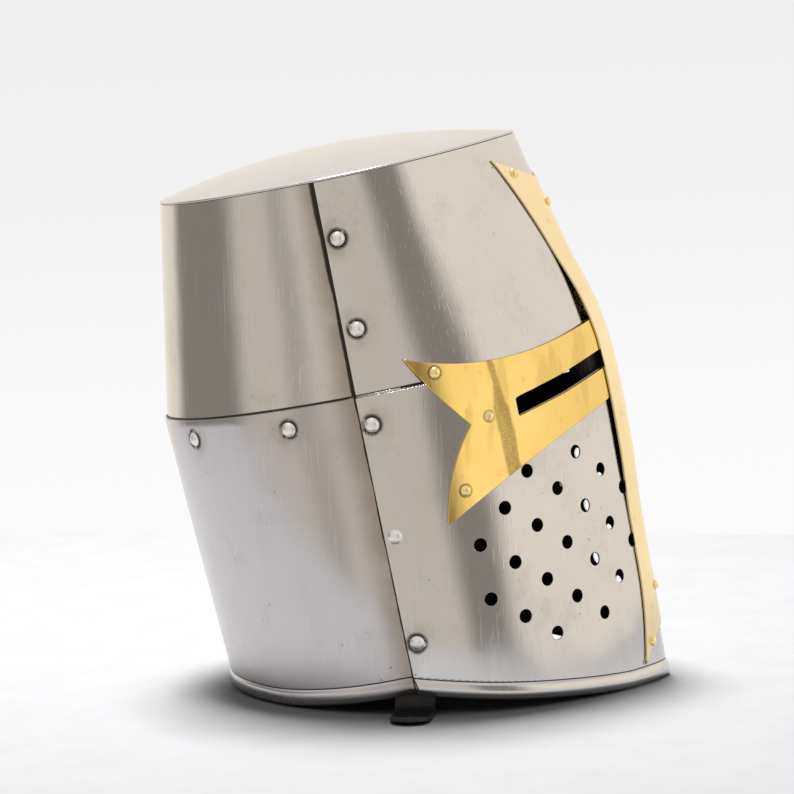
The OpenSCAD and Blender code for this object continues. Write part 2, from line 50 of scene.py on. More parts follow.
# ---------------------------------------------------------------- the helm's own frame, in millimetres
# Height 0 is the brow seam, the face is towards -Y and the wearer's right towards -X. stand() gives
# the row frame.
BROW = np.array([101.0, 130.4, 119.3])  # half width, ridge and rear of the walls' inner face
TOP = np.array([91.0, 102.3, 98.0])
FOOT = np.array([100.0, 126.0, 109.8])
TOP_H, FOOT_H = 117.6, 194.0
RIDGE = math.radians(22)
RIDGE_SOFT = 7.0
LEAN = math.radians(9.7)
TABLE_DOWN = 173.9  # from the brow to the table, under the middle of the side
STAND_Y, STAND_Z = 18.5, TABLE_DOWN * math.cos(LEAN)
SHEET = 1.2
PITCH = 1.4  # from one sheet's inner face to the next one's
SEAM_Q = 0.985
LAP_Q = 0.13
BROW_H = 1.0
ARC = 150.0  # millimetres of unrolled plate per unit of q
DENT = 0.11
SMALL = 0.5  # millimetres to each side, for a slope


def mix(a, b, t):
    return a + (b - a) * t


def smooth(t):
    t = np.clip(t, 0, 1)
    return t * t * (3 - 2 * t)


def unit(v):
    return v / np.maximum(np.linalg.norm(v, axis=-1, keepdims=True), 1e-9)


def stand(p):
    p = np.asarray(p, float)
    x, y, h = p[..., 0], p[..., 1], p[..., 2]
    c, s = math.cos(LEAN), math.sin(LEAN)
    return np.stack([x, STAND_Y + y * c + h * s, STAND_Z - y * s + h * c], -1) * MM


def stand_dir(n):
    n = np.asarray(n, float)
    c, s = math.cos(LEAN), math.sin(LEAN)
    return np.stack([n[..., 0], n[..., 1] * c + n[..., 2] * s, -n[..., 1] * s + n[..., 2] * c], -1)


def wall_dims(h):
    h = np.asarray(h, float)[..., None]
    return np.where(h >= 0, mix(BROW, TOP, h / TOP_H), mix(BROW, FOOT, -h / FOOT_H))


def bezier(p, t):
    return (1 - t) ** 3 * p[0] + 3 * (1 - t) ** 2 * t * p[1] + 3 * (1 - t) * t * t * p[2] + t ** 3 * p[3]


def soften_brow(q, h):
    """How far the ridge sinks at the brow, where the walls' two slopes meet in a curve."""
    return 2.2 * np.clip(1 - np.abs(h) / 42, 0, 1) ** 2 * (1 - smooth(np.abs(q) / 0.4))


def outline(q, d):
    """Plan outline, q from the ridge (0) past the side (1) to the rear (2), and negative on the right."""
    a = np.abs(q)
    w, f, b = d[..., 0], d[..., 1], d[..., 2]
    t, s = np.clip(a, 0, 1), np.clip(a - 1, 0, 1)
    tg = math.tan(RIDGE)
    x1 = bezier((0 * w, w / 2, w, w), t)
    y1 = bezier((-f, -f + w / 2 * tg, -f / 2, 0 * w), t) + tg * (np.hypot(x1, RIDGE_SOFT) - x1) * (1 - t)
    x2 = bezier((w, w, 0.56 * w, 0 * w), s)
    y2 = bezier((0 * w, 0.56 * b, b, b), s)
    front = a <= 1
    return np.where(front, x1, x2) * np.sign(q), np.where(front, y1, y2)


def dents(q, h):
    """The gentle waviness that hammering leaves, the same for every layer of sheet."""
    a = np.asarray(q) * 2.9
    return DENT * (np.sin(2.1 * a + 0.021 * h) * np.cos(0.043 * h + 0.7 * a + 0.5)
                   + 0.7 * np.sin(5.3 * a + 1.3 + 0.033 * h) * np.cos(0.027 * h - 1.1 * a)
                   + 0.35 * np.sin(11.0 * a + 0.4 - 0.05 * h) * np.cos(0.085 * h + 2.0))


def wrap(p):
    """From the running coordinate of a rear plate, which passes 2 at the middle of the rear, to q."""
    p = np.asarray(p, float)
    return np.where(p > 2, p - 4, p)


def wall(p, h, off, dented=True):
    q = wrap(p)
    h = np.asarray(h, float)
    if dented:
        off = off + dents(np.abs(q) + 0.37 * (q < 0), h)
    x, y = outline(q, wall_dims(h) + np.asarray(off)[..., None])
    return np.stack([x, y + soften_brow(q, h), h + 0 * x], -1)


def wall_normal(p, h, off, dented=False):
    e = 0.004
    dq = wall(p + e, h, off, dented) - wall(p - e, h, off, dented)
    dh = wall(p, np.asarray(h) + 0.6, off, dented) - wall(p, np.asarray(h) - 0.6, off, dented)
    return unit(np.cross(dq, dh))


def q_from_y(y, h):
    """q on the left half of the front, for a depth y."""
    table = np.linspace(0, 1, 400)
    out = []
    for yy, hh in zip(np.atleast_1d(y), np.atleast_1d(h)):
        ys = wall(table, np.full(table.shape, hh), 3.0, False)[:, 1]
        out.append(np.interp(yy, ys, table))
    return np.array(out)


def over_rear(q):
    return smooth((np.abs(q) - 0.45) / 0.39)


def upper_front_off(q):
    return PITCH * over_rear(q)


def lower_rear_off(q):
    return PITCH * (1 + smooth((1.35 - np.abs(q)) / 0.35))


def lower_front_off(q):
    return PITCH * (1 + 2 * over_rear(q))


def arm_off(q):
    return lower_front_off(q) + PITCH


ARCH = 11.4
BEAD_H = 10.0


def arch(y):
    return ARCH * np.where(y < 0, np.maximum(0, 1 + y / 110), np.maximum(0, 1 - y / 80) ** 1.5)


def rim_h(p, off):
    h = np.full(np.shape(p), -TABLE_DOWN)
    for _ in range(4):
        y = wall(p, h, off, False)[..., 1]
        h = -TABLE_DOWN + y * math.tan(LEAN) + arch(y)
    return h


# ---------------------------------------------------------------- meshes
def new_object(name, verts, faces, normals=None, material=None, uv=None, slots=None):
    me = bpy.data.meshes.new(name)
    me.from_pydata([tuple(v) for v in verts], [], [tuple(f) for f in faces])
    me.polygons.foreach_set("use_smooth", [True] * len(me.polygons))
    if slots is not None:
        me.polygons.foreach_set("material_index", slots)
    if uv is not None:
        layer = me.uv_layers.new(name="wall")
        index = np.empty(len(me.loops), np.int32)
        me.loops.foreach_get("vertex_index", index)
        layer.data.foreach_set("uv", np.asarray(uv, np.float32)[index].ravel())
    if normals is not None:
        me.normals_split_custom_set_from_vertices([tuple(n) for n in normals])
    me.update()
    ob = bpy.data.objects.new(name, me)
    bpy.context.scene.collection.objects.link(ob)
    for m in (material if isinstance(material, (list, tuple)) else [material]):
        if m is not None:
            me.materials.append(m)
    return ob


def loop_normals_2d(loop):
    """Unit vectors pointing out of the material, for an outer loop wound anticlockwise or a hole wound
    clockwise."""
    t = unit(np.roll(loop, -1, 0) - loop)
    n = np.stack([t[:, 1], -t[:, 0]], 1)
    both = unit(n + np.roll(n, 1, 0))
    return both / np.maximum((both * n).sum(1, keepdims=True), 0.45)


def inside(points, loop):
    x, y = points[:, 0], points[:, 1]
    res = np.zeros(len(points), bool)
    a, b = loop, np.roll(loop, -1, 0)
    for (x1, y1), (x2, y2) in zip(a, b):
        cross = (y1 > y) != (y2 > y)
        with np.errstate(divide="ignore", invalid="ignore"):
            xx = (x2 - x1) * (y - y1) / (y2 - y1) + x1
        res ^= cross & (x < xx)
    return res


def surface_normal(place, p2, off):
    du = place(p2 + [SMALL, 0], off) - place(p2 - [SMALL, 0], off)
    dv = place(p2 + [0, SMALL], off) - place(p2 - [0, SMALL], off)
    return unit(np.cross(du, dv))


def sheet(name, loops, inner_points, place, thick=SHEET, chamfer=0.3, material=None, clear=0.9, leans=True,
          uv_of=None, bend=None):
    """A piece of sheet: a 2D outline with holes, filled with points and laid on a surface.
    place(points, off) gives millimetres for domain points at a distance off over the inner face, in the
    helm's leaning frame or, without leans, in the row frame. bend gives the outer face other normals."""
    loops = [np.asarray(l, float) for l in loops]
    outs = [loop_normals_2d(l) for l in loops]
    insets = [l - n * chamfer for l, n in zip(loops, outs)]
    pts = np.asarray(inner_points, float)
    keep = inside(pts, insets[0])
    for l in insets[1:]:
        keep &= ~inside(pts, l)
    pts = pts[keep]
    rim = np.concatenate(insets)
    near = np.full(len(pts), 1e9)
    for i in range(0, len(rim), 64):
        near = np.minimum(near, np.sqrt(((pts[:, None] - rim[None, i:i + 64]) ** 2).sum(-1)).min(1))
    pts = pts[near > clear]
    verts2d, edges, start = [], [], 0
    for l in insets:
        n = len(l)
        verts2d += [Vector(p) for p in l]
        edges += [(start + i, start + (i + 1) % n) for i in range(n)]
        start += n
    verts2d += [Vector(p) for p in pts]
    out_v, _, out_f, orig_v, _, _ = delaunay_2d_cdt(verts2d, edges, [], 0, 1e-7, True)
    flat = np.array([tuple(v) for v in out_v])
    index = [-1] * len(flat)
    for i, o in enumerate(orig_v):
        if o:
            index[i] = o[0]
    tri = np.array([f for f in out_f if len(f) == 3])
    mid = flat[tri].mean(1)
    ok = inside(mid, insets[0])
    for l in insets[1:]:
        ok &= ~inside(mid, l)
    tri = tri[ok]
    if min(index) < 0:
        raise ValueError("crossing outline in " + name)
    base = np.concatenate([rim, pts])
    tri = np.array(index)[tri]
    e1, e2 = base[tri[:, 1]] - base[tri[:, 0]], base[tri[:, 2]] - base[tri[:, 0]]
    flip = e1[:, 0] * e2[:, 1] - e1[:, 1] * e2[:, 0] < 0
    tri[flip] = tri[flip][:, ::-1]
    n = len(base)
    top, bottom = place(base, thick), place(base, 0.0)
    n_top = surface_normal(place, base, thick) if bend is None else bend(base)
    n_bottom = -surface_normal(place, base, 0.0)
    verts, norms, uvs = [top, bottom], [n_top, n_bottom], [base, base]
    faces = [tuple(t) for t in tri] + [tuple(t[::-1] + n) for t in tri]
    slots = [0] * len(tri) + [1] * len(tri)
    count, start = 2 * n, 0
    for l, out2 in zip(loops, outs):
        m = len(l)
        ring = [(0.3, thick - 0.3 * chamfer), (1.0, thick - chamfer), (1.0, chamfer), (0.3, 0.3 * chamfer)]
        nt = n_top[start:start + m]
        tang = place(np.roll(l, -1, 0), thick / 2) - place(np.roll(l, 1, 0), thick / 2)
        side = unit(np.cross(tang, nt))
        rows = [np.arange(start, start + m)]
        for k, (share, off) in enumerate(ring):
            p2 = l - out2 * chamfer * (1 - share)
            verts.append(place(p2, off))
            uvs.append(p2)
            if k == 0:
                norms.append(unit(nt + side))
            elif k == 3:
                norms.append(unit(side - nt))
            else:
                norms.append(side)
            rows.append(np.arange(count, count + m))
            count += m
        rows.append(np.arange(start, start + m) + n)
        for r0, r1 in zip(rows[:-1], rows[1:]):
            for i in range(m):
                j = (i + 1) % m
                faces.append((int(r0[i]), int(r1[i]), int(r1[j]), int(r0[j])))
                slots.append(0)
        start += m
    verts, norms, uvs = np.concatenate(verts), np.concatenate(norms), np.concatenate(uvs)
    uvs = (uvs if uv_of is None else uv_of(uvs)) * MM
    verts, norms = (stand(verts), stand_dir(norms)) if leans else (verts * MM, norms)
    return new_object(name, verts, faces, norms, material, uvs, slots)


def resample(points, step):
    """A closed polyline with points added so that none are more than step apart."""
    out = []
    p = [np.asarray(a, float) for a in points]
    for a, b in zip(p, p[1:] + p[:1]):
        n = max(1, int(math.ceil(np.linalg.norm(b - a) / step)))
        out += [mix(a, b, i / n) for i in range(n)]
    return np.array(out)


def anticlockwise(loop, yes=True):
    loop = np.asarray(loop, float)
    area = (loop[:, 0] * np.roll(loop[:, 1], -1) - np.roll(loop[:, 0], -1) * loop[:, 1]).sum()
    return loop if (area > 0) == yes else loop[::-1]


def mirror_x(ob, name):
    me = ob.data.copy()
    n = len(me.vertices)
    co = np.empty(n * 3, np.float32)
    me.vertices.foreach_get("co", co)
    no = np.empty(len(me.loops) * 3, np.float32)
    me.corner_normals.foreach_get("vector", no)
    index = np.empty(len(me.loops), np.int32)
    me.loops.foreach_get("vertex_index", index)
    normals = np.zeros((n, 3))
    normals[index] = no.reshape(-1, 3)
    co = co.reshape(-1, 3) * [-1, 1, 1]
    faces = [tuple(reversed(p.vertices)) for p in me.polygons]
    slots = [p.material_index for p in me.polygons]
    uv = None
    if me.uv_layers:
        data = np.empty(len(me.loops) * 2, np.float32)
        me.uv_layers[0].data.foreach_get("uv", data)
        uv = np.zeros((n, 2))
        uv[index] = data.reshape(-1, 2)
    return new_object(name, co, faces, normals * [-1, 1, 1], list(me.materials), uv, slots)


# ---------------------------------------------------------------- materials
class Nodes:
    """Short ways to make and join shader nodes, in a new material or world."""

    def __init__(self, name, world=False):
        self.mat = (bpy.data.worlds if world else bpy.data.materials).new(name)
        self.mat.use_nodes = True
        self.tree = self.mat.node_tree
        self.tree.nodes.clear()
        self._coord = None
        if not world:
            self.bsdf = self.new("BsdfPrincipled")
            self.link(self.bsdf.outputs[0], self.new("OutputMaterial").inputs[0])

    def new(self, kind, **settings):
        node = self.tree.nodes.new("ShaderNode" + kind)
        for key, value in settings.items():
            setattr(node, key, value)
        return node

    def link(self, a, b):
        self.tree.links.new(a, b)

    def put(self, value, socket):
        if isinstance(value, bpy.types.NodeSocket):
            self.link(value, socket)
        else:
            socket.default_value = value

    def coord(self):
        if self._coord is None:
            self._coord = self.new("TexCoord").outputs["Object"]
        return self._coord

    def split(self, vector):
        node = self.new("SeparateXYZ")
        self.link(vector, node.inputs[0])
        return tuple(node.outputs)

    def wall_uv(self):
        return self.split(self.new("UVMap", uv_map="wall").outputs[0])[:2]

    def math(self, op, a, b=None):
        node = self.new("Math", operation=op)
        self.put(a, node.inputs[0])
        if b is not None:
            self.put(b, node.inputs[1])
        return node.outputs[0]

    def add(self, a, b):
        return self.math("ADD", a, b)

    def sub(self, a, b):
        return self.math("SUBTRACT", a, b)

    def mul(self, a, b):
        return self.math("MULTIPLY", a, b)

    def away(self, a, b):
        return self.math("ABSOLUTE", self.sub(a, b))

    def ramp(self, value, low, high, to_low=0.0, to_high=1.0, soft=True):
        node = self.new("MapRange", interpolation_type="SMOOTHSTEP" if soft else "LINEAR")
        self.put(value, node.inputs[0])
        for i, v in enumerate((low, high, to_low, to_high)):
            node.inputs[i + 1].default_value = v
        return node.outputs[0]

    def scaled(self, scale, turn=(0, 0, 0)):
        node = self.new("Mapping")
        node.inputs["Scale"].default_value = scale
        node.inputs["Rotation"].default_value = turn
        self.link(self.coord(), node.inputs[0])
        return node.outputs[0]

    def noise(self, scale, detail=4.0, rough=0.55, coord=None):
        node = self.new("TexNoise")
        for socket, value in (("Scale", scale), ("Detail", detail), ("Roughness", rough)):
            node.inputs[socket].default_value = value
        self.link(coord or self.coord(), node.inputs[0])
        return node.outputs[0]

    def voronoi(self, scale, feature="F1"):
        node = self.new("TexVoronoi", feature=feature)
        node.inputs["Scale"].default_value = scale
        self.link(self.coord(), node.inputs[0])
        return node.outputs["Distance"]

    def blend(self, factor, a, b):
        node = self.new("Mix", data_type="RGBA")
        for value, place in ((factor, 0), (a, 6), (b, 7)):
            self.put(value, node.inputs[place])
        return node.outputs[2]

    def bump(self, height, strength, distance, normal=None):
        node = self.new("Bump")
        node.inputs["Strength"].default_value = strength
        node.inputs["Distance"].default_value = distance
        self.link(height, node.inputs["Height"])
        if normal is not None:
            self.link(normal, node.inputs["Normal"])
        return node.outputs[0]

    def near(self, points, r_in, r_out):
        """1 within r_in millimetres of any of the points, on either side of the helm, and 0 past r_out."""
        x, y, z = self.split(self.coord())
        both = self.new("CombineXYZ")
        for value, socket in zip((self.math("ABSOLUTE", x), y, z), both.inputs):
            self.link(value, socket)
        nearest = None
        for p in points:
            node = self.new("VectorMath", operation="DISTANCE")
            self.link(both.outputs[0], node.inputs[0])
            node.inputs[1].default_value = tuple(p)
            d = node.outputs["Value"]
            nearest = d if nearest is None else self.math("MINIMUM", nearest, d)
        return self.ramp(nearest, r_in * MM, r_out * MM, 1.0, 0.0)


def shade(colour, share, more=0.0):
    return tuple(min(1.0, c * share + more) for c in colour[:3]) + (1,)


def most(n, *values):
    out = values[0]
    for v in values[1:]:
        out = n.math("MAXIMUM", out, v)
    return out


STEEL_COLOUR = (0.60, 0.585, 0.575, 1)
STEEL_LIGHT, STEEL_DARK = (0.615, 0.60, 0.59, 1), (0.585, 0.565, 0.55, 1)
CLOUD = (0.50, 0.475, 0.455, 1)
SCRATCH = (0.74, 0.72, 0.70, 1)
WASH = (0.47, 0.435, 0.455, 1)
RUST = (0.34, 0.28, 0.22, 1)
SEAM_BROWN = (0.30, 0.255, 0.21, 1)
# near black, for grime and for painted shade in gaps, steps and creases
GRIME_AND_SHADE = (0.030, 0.024, 0.019, 1)


def steel(name, rivets=(), seam=None, ends=(), roughness=0.11, stains=0.5, burrs=(), wash=0.0):
    """Satin steel sheet. seam is a dark line up both sides of the plate, grime with painted shade in the gap
    under the next plate's edge, and a soft brown darkening beside it: its distance from the middle, width,
    the middle's place and how much it widens upwards. ends are dark lines along it, grime with painted shade
    at a step or
    crease: (height, width). burrs are the places of rough spots beside holes. Each rivet gets a dark ring of
    painted contact shade and grime round its head."""
    n = Nodes(name)
    big = n.noise(9.0, 3.0)
    fine = n.noise(60.0, 5.0, 0.6)
    grain = n.noise(1.0, 3.0, 0.6, n.scaled((420, 420, 34)))
    scratch = n.noise(1.0, 2.0, 0.5, n.scaled((900, 900, 22), turn=(0.25, 0.5, 0.2)))
    tint = n.blend(n.ramp(big, 0.35, 0.68), STEEL_LIGHT, STEEL_DARK)
    tint = n.blend(n.ramp(fine, 0.42, 0.62), tint, STEEL_COLOUR)
    cloud = n.noise(26.0, 5.0, 0.65)
    tint = n.blend(n.ramp(cloud, 0.50, 0.72, 0.0, 0.55), tint, CLOUD)
    marks = n.mul(n.ramp(scratch, 0.60, 0.70), n.ramp(cloud, 0.42, 0.60))
    tint = n.blend(n.mul(marks, 0.5), tint, SCRATCH)
    tint = n.blend(wash, tint, WASH)
    speck = n.noise(210.0, 3.0, 0.7)
    dirt_and_shade = [n.mul(n.ramp(n.noise(380.0, 2.0, 0.6), 0.70, 0.76), n.ramp(cloud, 0.48, 0.58, 0.0, 0.55))]
    if rivets:
        # a dark ring round each rivet head: painted contact shade where the head meets the plate, with some
        # grime
        dirt_and_shade.append(n.mul(n.near(rivets, 4.3, 6.9), n.ramp(speck, 0.30, 0.50)))
        halo = n.mul(n.near(rivets, 5.0, 15.0), n.ramp(fine, 0.38, 0.66))
        tint = n.blend(n.mul(halo, 0.5), tint, RUST)
    if burrs:
        dirt_and_shade.append(n.mul(n.near(burrs, 0.5, 1.7), n.ramp(n.noise(520.0, 3.0, 0.7), 0.42, 0.56)))
    u, v = n.wall_uv()
    if seam:
        half, width, centre, flare = seam
        d = n.away(n.away(u, centre), half)
        # a soft brown darkening on both sides of the seam line
        brown_by_seam = n.mul(n.ramp(d, 0.0, 0.013, 0.85, 0.0), n.ramp(cloud, 0.30, 0.55, 0.5, 1.0))
        tint = n.blend(brown_by_seam, tint, SEAM_BROWN)
        # the dark seam line: painted shade in the gap under the overlapping plate's edge, with grime
        d = n.add(d, n.mul(n.sub(fine, 0.5), 0.0016))
        if flare:
            d = n.math("DIVIDE", d, n.ramp(v, 0.04, 0.117, 1.0, 1.0 + flare))
        dirt_and_shade.append(n.ramp(d, width * 0.45, width, 1.0, 0.0))
    # dark lines along the brow seam just above the lower plates' edge and just under the bead's crease:
    # painted shade with some grime
    for level, width in ends:
        d = n.away(v, level * MM)
        dirt_and_shade.append(n.mul(n.ramp(d, width * 0.4 * MM, width * MM, 0.95, 0.0), n.ramp(fine, 0.16, 0.34)))
    spot = n.ramp(n.voronoi(46.0), 0.05, 0.012)
    dirt_and_shade.append(n.mul(n.mul(spot, n.ramp(big, 0.50, 0.60)), 0.75 * stains))
    rough = n.add(n.ramp(big, 0.3, 0.7, roughness - 0.02, roughness + 0.035),
                   n.mul(n.sub(grain, 0.5), 0.10))
    rough = n.add(rough, n.ramp(cloud, 0.45, 0.75, 0.0, 0.09))
    # the dark mask holds real specks, stains and burrs together with painted shade at seams, steps, creases
    # and round rivet heads
    mask = most(n, *dirt_and_shade)
    tint = n.blend(mask, tint, GRIME_AND_SHADE)
    rough = n.add(rough, n.mul(mask, 0.45))
    n.link(n.ramp(mask, 0.0, 1.0, 1.0, 0.35, soft=False), n.bsdf.inputs["Metallic"])
    n.link(tint, n.bsdf.inputs["Base Color"])
    n.link(rough, n.bsdf.inputs["Roughness"])
    b = n.bump(grain, 0.16, 0.00010)
    b = n.bump(n.ramp(scratch, 0.60, 0.72), 0.22, 0.00008, b)
    b = n.bump(big, 0.15, 0.0012, b)
    n.link(b, n.bsdf.inputs["Normal"])
    return n.mat


def black_steel(name):
    """The plates' unpolished inner face, painted near black: partly a dark finish, partly painted shade for
    the inside of the helm.
    """
    n = Nodes(name)
    scale = n.noise(35.0, 5.0, 0.6)
    n.link(n.blend(n.ramp(scale, 0.35, 0.7), (0.040, 0.038, 0.037, 1), (0.095, 0.087, 0.080, 1)),
           n.bsdf.inputs["Base Color"])
    n.bsdf.inputs["Metallic"].default_value = 0.55
    n.link(n.ramp(scale, 0.3, 0.7, 0.5, 0.72), n.bsdf.inputs["Roughness"])
    n.link(n.bump(scale, 0.4, 0.0006), n.bsdf.inputs["Normal"])
    return n.mat


def brass(name, light, dark, rivets=(), roughness=0.19, crease=None):
    n = Nodes(name)
    big = n.noise(14.0, 3.0)
    fine = n.noise(150.0, 4.0, 0.6)
    grain = n.noise(1.0, 3.0, 0.6, n.scaled((520, 520, 40)))
    tint = n.blend(n.ramp(big, 0.36, 0.66), light, dark)
    dirt_and_shade = n.mul(n.ramp(fine, 0.60, 0.76), 0.22)
    if rivets:
        # a dark ring round each rivet head: painted contact shade where the head meets the sheet, with some
        # grime
        ring = n.mul(n.near(rivets, 3.2, 4.5), n.ramp(fine, 0.28, 0.5))
        dirt_and_shade = most(n, dirt_and_shade, n.mul(ring, 0.9))
    if crease:
        u, v = n.wall_uv()
        # towards the ridge the arm is painted darker and more orange: painted shade
        tint = n.blend(n.ramp(u, 0.030, 0.078, 0.5, 0.0), tint, (0.70, 0.50, 0.17, 1))
        streak = n.noise(1.0, 3.0, 0.55, n.scaled((75, 75, 16)))
        tint = n.blend(n.ramp(streak, 0.52, 0.64, 0.0, 0.45), tint, (0.60, 0.41, 0.12, 1))
        # a broken dark band along the crease: painted shade where the sheet turns, with some tarnish
        line = n.add(n.mul(v, 0.04), crease)
        away = n.away(u, line)
        away = n.sub(away, n.ramp(v, 0.004, -0.026, 0.0003, 0.0030))
        away = n.add(away, n.mul(n.sub(n.noise(70.0, 3.0), 0.5), 0.004))
        broken = n.ramp(n.noise(900.0, 3.0), 0.3, 0.62, 0.36, 0.56)
        band = n.mul(n.ramp(away, 0.0, 0.0016, 1.0, 0.0), broken)
        dirt_and_shade = most(n, dirt_and_shade, band)
    n.link(n.blend(dirt_and_shade, tint, (0.055, 0.036, 0.012, 1)), n.bsdf.inputs["Base Color"])
    n.bsdf.inputs["Metallic"].default_value = 1.0
    n.link(n.add(n.ramp(big, 0.3, 0.7, roughness - 0.02, roughness + 0.04),
                  n.mul(n.sub(grain, 0.5), 0.12)), n.bsdf.inputs["Roughness"])
    b = n.bump(grain, 0.16, 0.0001)
    n.link(n.bump(big, 0.25, 0.0012, b), n.bsdf.inputs["Normal"])
    return n.mat


def bright_metal(name, colour, roughness=0.2):
    n = Nodes(name)
    fine = n.noise(260.0, 4.0, 0.6)
    big = n.noise(90.0, 2.0)
    n.link(n.blend(n.ramp(fine, 0.56, 0.78), colour, shade(colour, 0.45)),
           n.bsdf.inputs["Base Color"])
    n.bsdf.inputs["Metallic"].default_value = 1.0
    n.link(n.ramp(fine, 0.3, 0.7, roughness - 0.04, roughness + 0.10), n.bsdf.inputs["Roughness"])
    n.link(n.bump(big, 0.5, 0.0006), n.bsdf.inputs["Normal"])
    return n.mat


def leather(name, colour, gloss, grain=1.0):
    n = Nodes(name)
    cells = n.voronoi(620.0, "DISTANCE_TO_EDGE")
    fold = n.noise(70.0, 5.0, 0.65)
    wear = n.noise(24.0, 4.0, 0.6)
    tint = n.blend(n.mul(n.ramp(wear, 0.5, 0.78), 0.55), colour, shade(colour, 2.6, 0.012))
    creases = n.ramp(cells, 0.0, 0.09)
    n.link(n.blend(creases, shade(colour, 0.45), tint), n.bsdf.inputs["Base Color"])
    n.link(n.ramp(wear, 0.3, 0.7, gloss, gloss + 0.16), n.bsdf.inputs["Roughness"])
    n.bsdf.inputs["Specular IOR Level"].default_value = 0.5
    b = n.bump(creases, 0.45 * grain, 0.00022)
    n.link(n.bump(fold, 0.5, 0.0006, b), n.bsdf.inputs["Normal"])
    return n.mat


def thread(name, colour):
    n = Nodes(name)
    twist = n.noise(900.0, 3.0, 0.6)
    n.link(n.blend(n.ramp(twist, 0.35, 0.65), colour, shade(colour, 0.55)),
           n.bsdf.inputs["Base Color"])
    n.bsdf.inputs["Roughness"].default_value = 0.75
    n.link(n.bump(twist, 0.6, 0.0002), n.bsdf.inputs["Normal"])
    return n.mat


# ---------------------------------------------------------------- where the rivets are
UPPER_SEAM = [(0.942, 86.0), (0.942, 37.0)]
CORNER = (0.955, -14.5)
LOWER_SEAM = (0.955, -135.0)
STRAP_AT = (0.955, -76.0)
BROW_RIVETS = [(1.19, -9.5), (1.58, -9.5), (2.0, -9.5), (2.42, -9.5), (2.81, -9.5)]
ARM_RIVETS = [(0.75, 6.0), (0.611, -24.0), (0.73, -59.8)]

BREATH_MID = (0.409, -102.5)
BREATH_U, BREATH_V, BREATH_SKEW = 18.2 / 178, 15.0, 1.0
BREATHS = [(BREATH_MID[0] + (j - i) * BREATH_U,
            BREATH_MID[1] - (i + j) * BREATH_V + (i - j) * BREATH_SKEW)
           for i in range(-2, 3) for j in range(-2, 3) if abs(i) + abs(j) < 4]


def spot(at, off):
    """A place on the left wall, as a point in the row frame."""
    return tuple(stand(wall(np.array(at[0]), np.array(at[1]), off)))


BLACK = black_steel("steel_inside")
MAT_TOP = steel("steel_top", roughness=0.26, stains=0.3)
MAT_UPPER_REAR = steel("steel_upper_rear", seam=(0.1517, 0.0013, 0.3, 1.3), ends=[(1.6, 0.8)])
MAT_UPPER_FRONT = steel("steel_upper_front", [spot(a, PITCH + SHEET) for a in UPPER_SEAM],
                        ends=[(1.7, 1.0)])
MAT_LOWER_REAR = steel("steel_lower_rear", [spot(a, PITCH + SHEET) for a in BROW_RIVETS[:3]],
                       seam=(0.1521, 0.00065, 0.3, 0.0), ends=[(-0.2, 0.6)], roughness=0.17, wash=0.4)
BURRS = [spot((q + 0.031, h - 2.6), 2 * PITCH + SHEET) for q, h in BREATHS if q < 0.47 and h < -76]
MAT_LOWER_FRONT = steel("steel_lower_front", [spot(a, 3 * PITCH + SHEET) for a in (CORNER, LOWER_SEAM)],
                        ends=[(-0.2, 0.6)], burrs=BURRS)
MAT_ARM = brass("brass_arm", (0.93, 0.68, 0.24, 1), (0.86, 0.61, 0.19, 1),
                [spot(a, 7.0) for a in ARM_RIVETS], 0.1, crease=0.0856)
# the bar's brass is painted paler and creamier than the arms': a painted highlight for the bright light it
# reflects
MAT_BAR = brass("brass_bar", (0.84, 0.73, 0.47, 1), (0.80, 0.67, 0.40, 1), roughness=0.17)
MAT_RIVET = bright_metal("rivet_steel", (0.84, 0.82, 0.80, 1), 0.38)
MAT_BRASS_RIVET = bright_metal("rivet_brass", (0.95, 0.74, 0.34, 1), 0.24)
MAT_BUCKLE = bright_metal("buckle_steel", (0.55, 0.54, 0.53, 1), 0.26)
MAT_STRAP = leather("leather_strap", (0.012, 0.011, 0.0105, 1), 0.26)
MAT_LINER = leather("leather_liner", (0.028, 0.022, 0.018, 1), 0.5, 1.3)
MAT_THREAD = thread("waxed_thread", (0.26, 0.21, 0.15, 1))


# ---------------------------------------------------------------- wall plates
def circle_loop(p, h, off, r, n=28):
    """A round hole in the plate, as a loop in its unrolled outline."""
    e = 0.01
    a, b = (wall(np.array(q), np.array(h), off, False) for q in (p + e, p - e))
    per_u = np.linalg.norm(a - b) / (2 * e * ARC)
    t = np.arange(n) / n * 2 * math.pi
    return anticlockwise(np.stack([p * ARC + r / per_u * np.cos(t), h + r * np.sin(t)], 1), False)


def grid(u0, u1, v0, v1, du, dv):
    us = np.linspace(u0, u1, max(2, int(round((u1 - u0) / du)) + 1))
    vs = np.linspace(v0, v1, max(2, int(round((v1 - v0) / dv)) + 1))
    out = []
    for k, v in enumerate(vs):
        shift = (us[1] - us[0]) / 2 if k % 2 else 0
        out += [(u + shift, v) for u in us]
    return np.array(out)


def box_loop(u0, u1, low, high, step=4.0):
    """Outline of a plate between two heights, which may be functions of u."""
    us = np.linspace(u0, u1, int((u1 - u0) / step) + 1)
    lo = np.array([low(u) if callable(low) else low for u in us])
    hi = np.array([high(u) if callable(high) else high for u in us])
    left = [(u0, v) for v in np.linspace(hi[0], lo[0], 14)][1:-1]
    right = [(u1, v) for v in np.linspace(lo[-1], hi[-1], 14)][1:-1]
    return anticlockwise(list(zip(us, lo)) + right + list(zip(us, hi))[::-1] + left)


def placer(off_of_q):
    def place(p2, off):
        p = p2[:, 0] / ARC
        return wall(p, p2[:, 1], off_of_q(wrap(p)) + off)
    return place


REAR_LEFT, REAR_RIGHT = (SEAM_Q - LAP_Q) * ARC, (4 - SEAM_Q + LAP_Q) * ARC
FRONT_LEFT, FRONT_RIGHT = -SEAM_Q * ARC, SEAM_Q * ARC

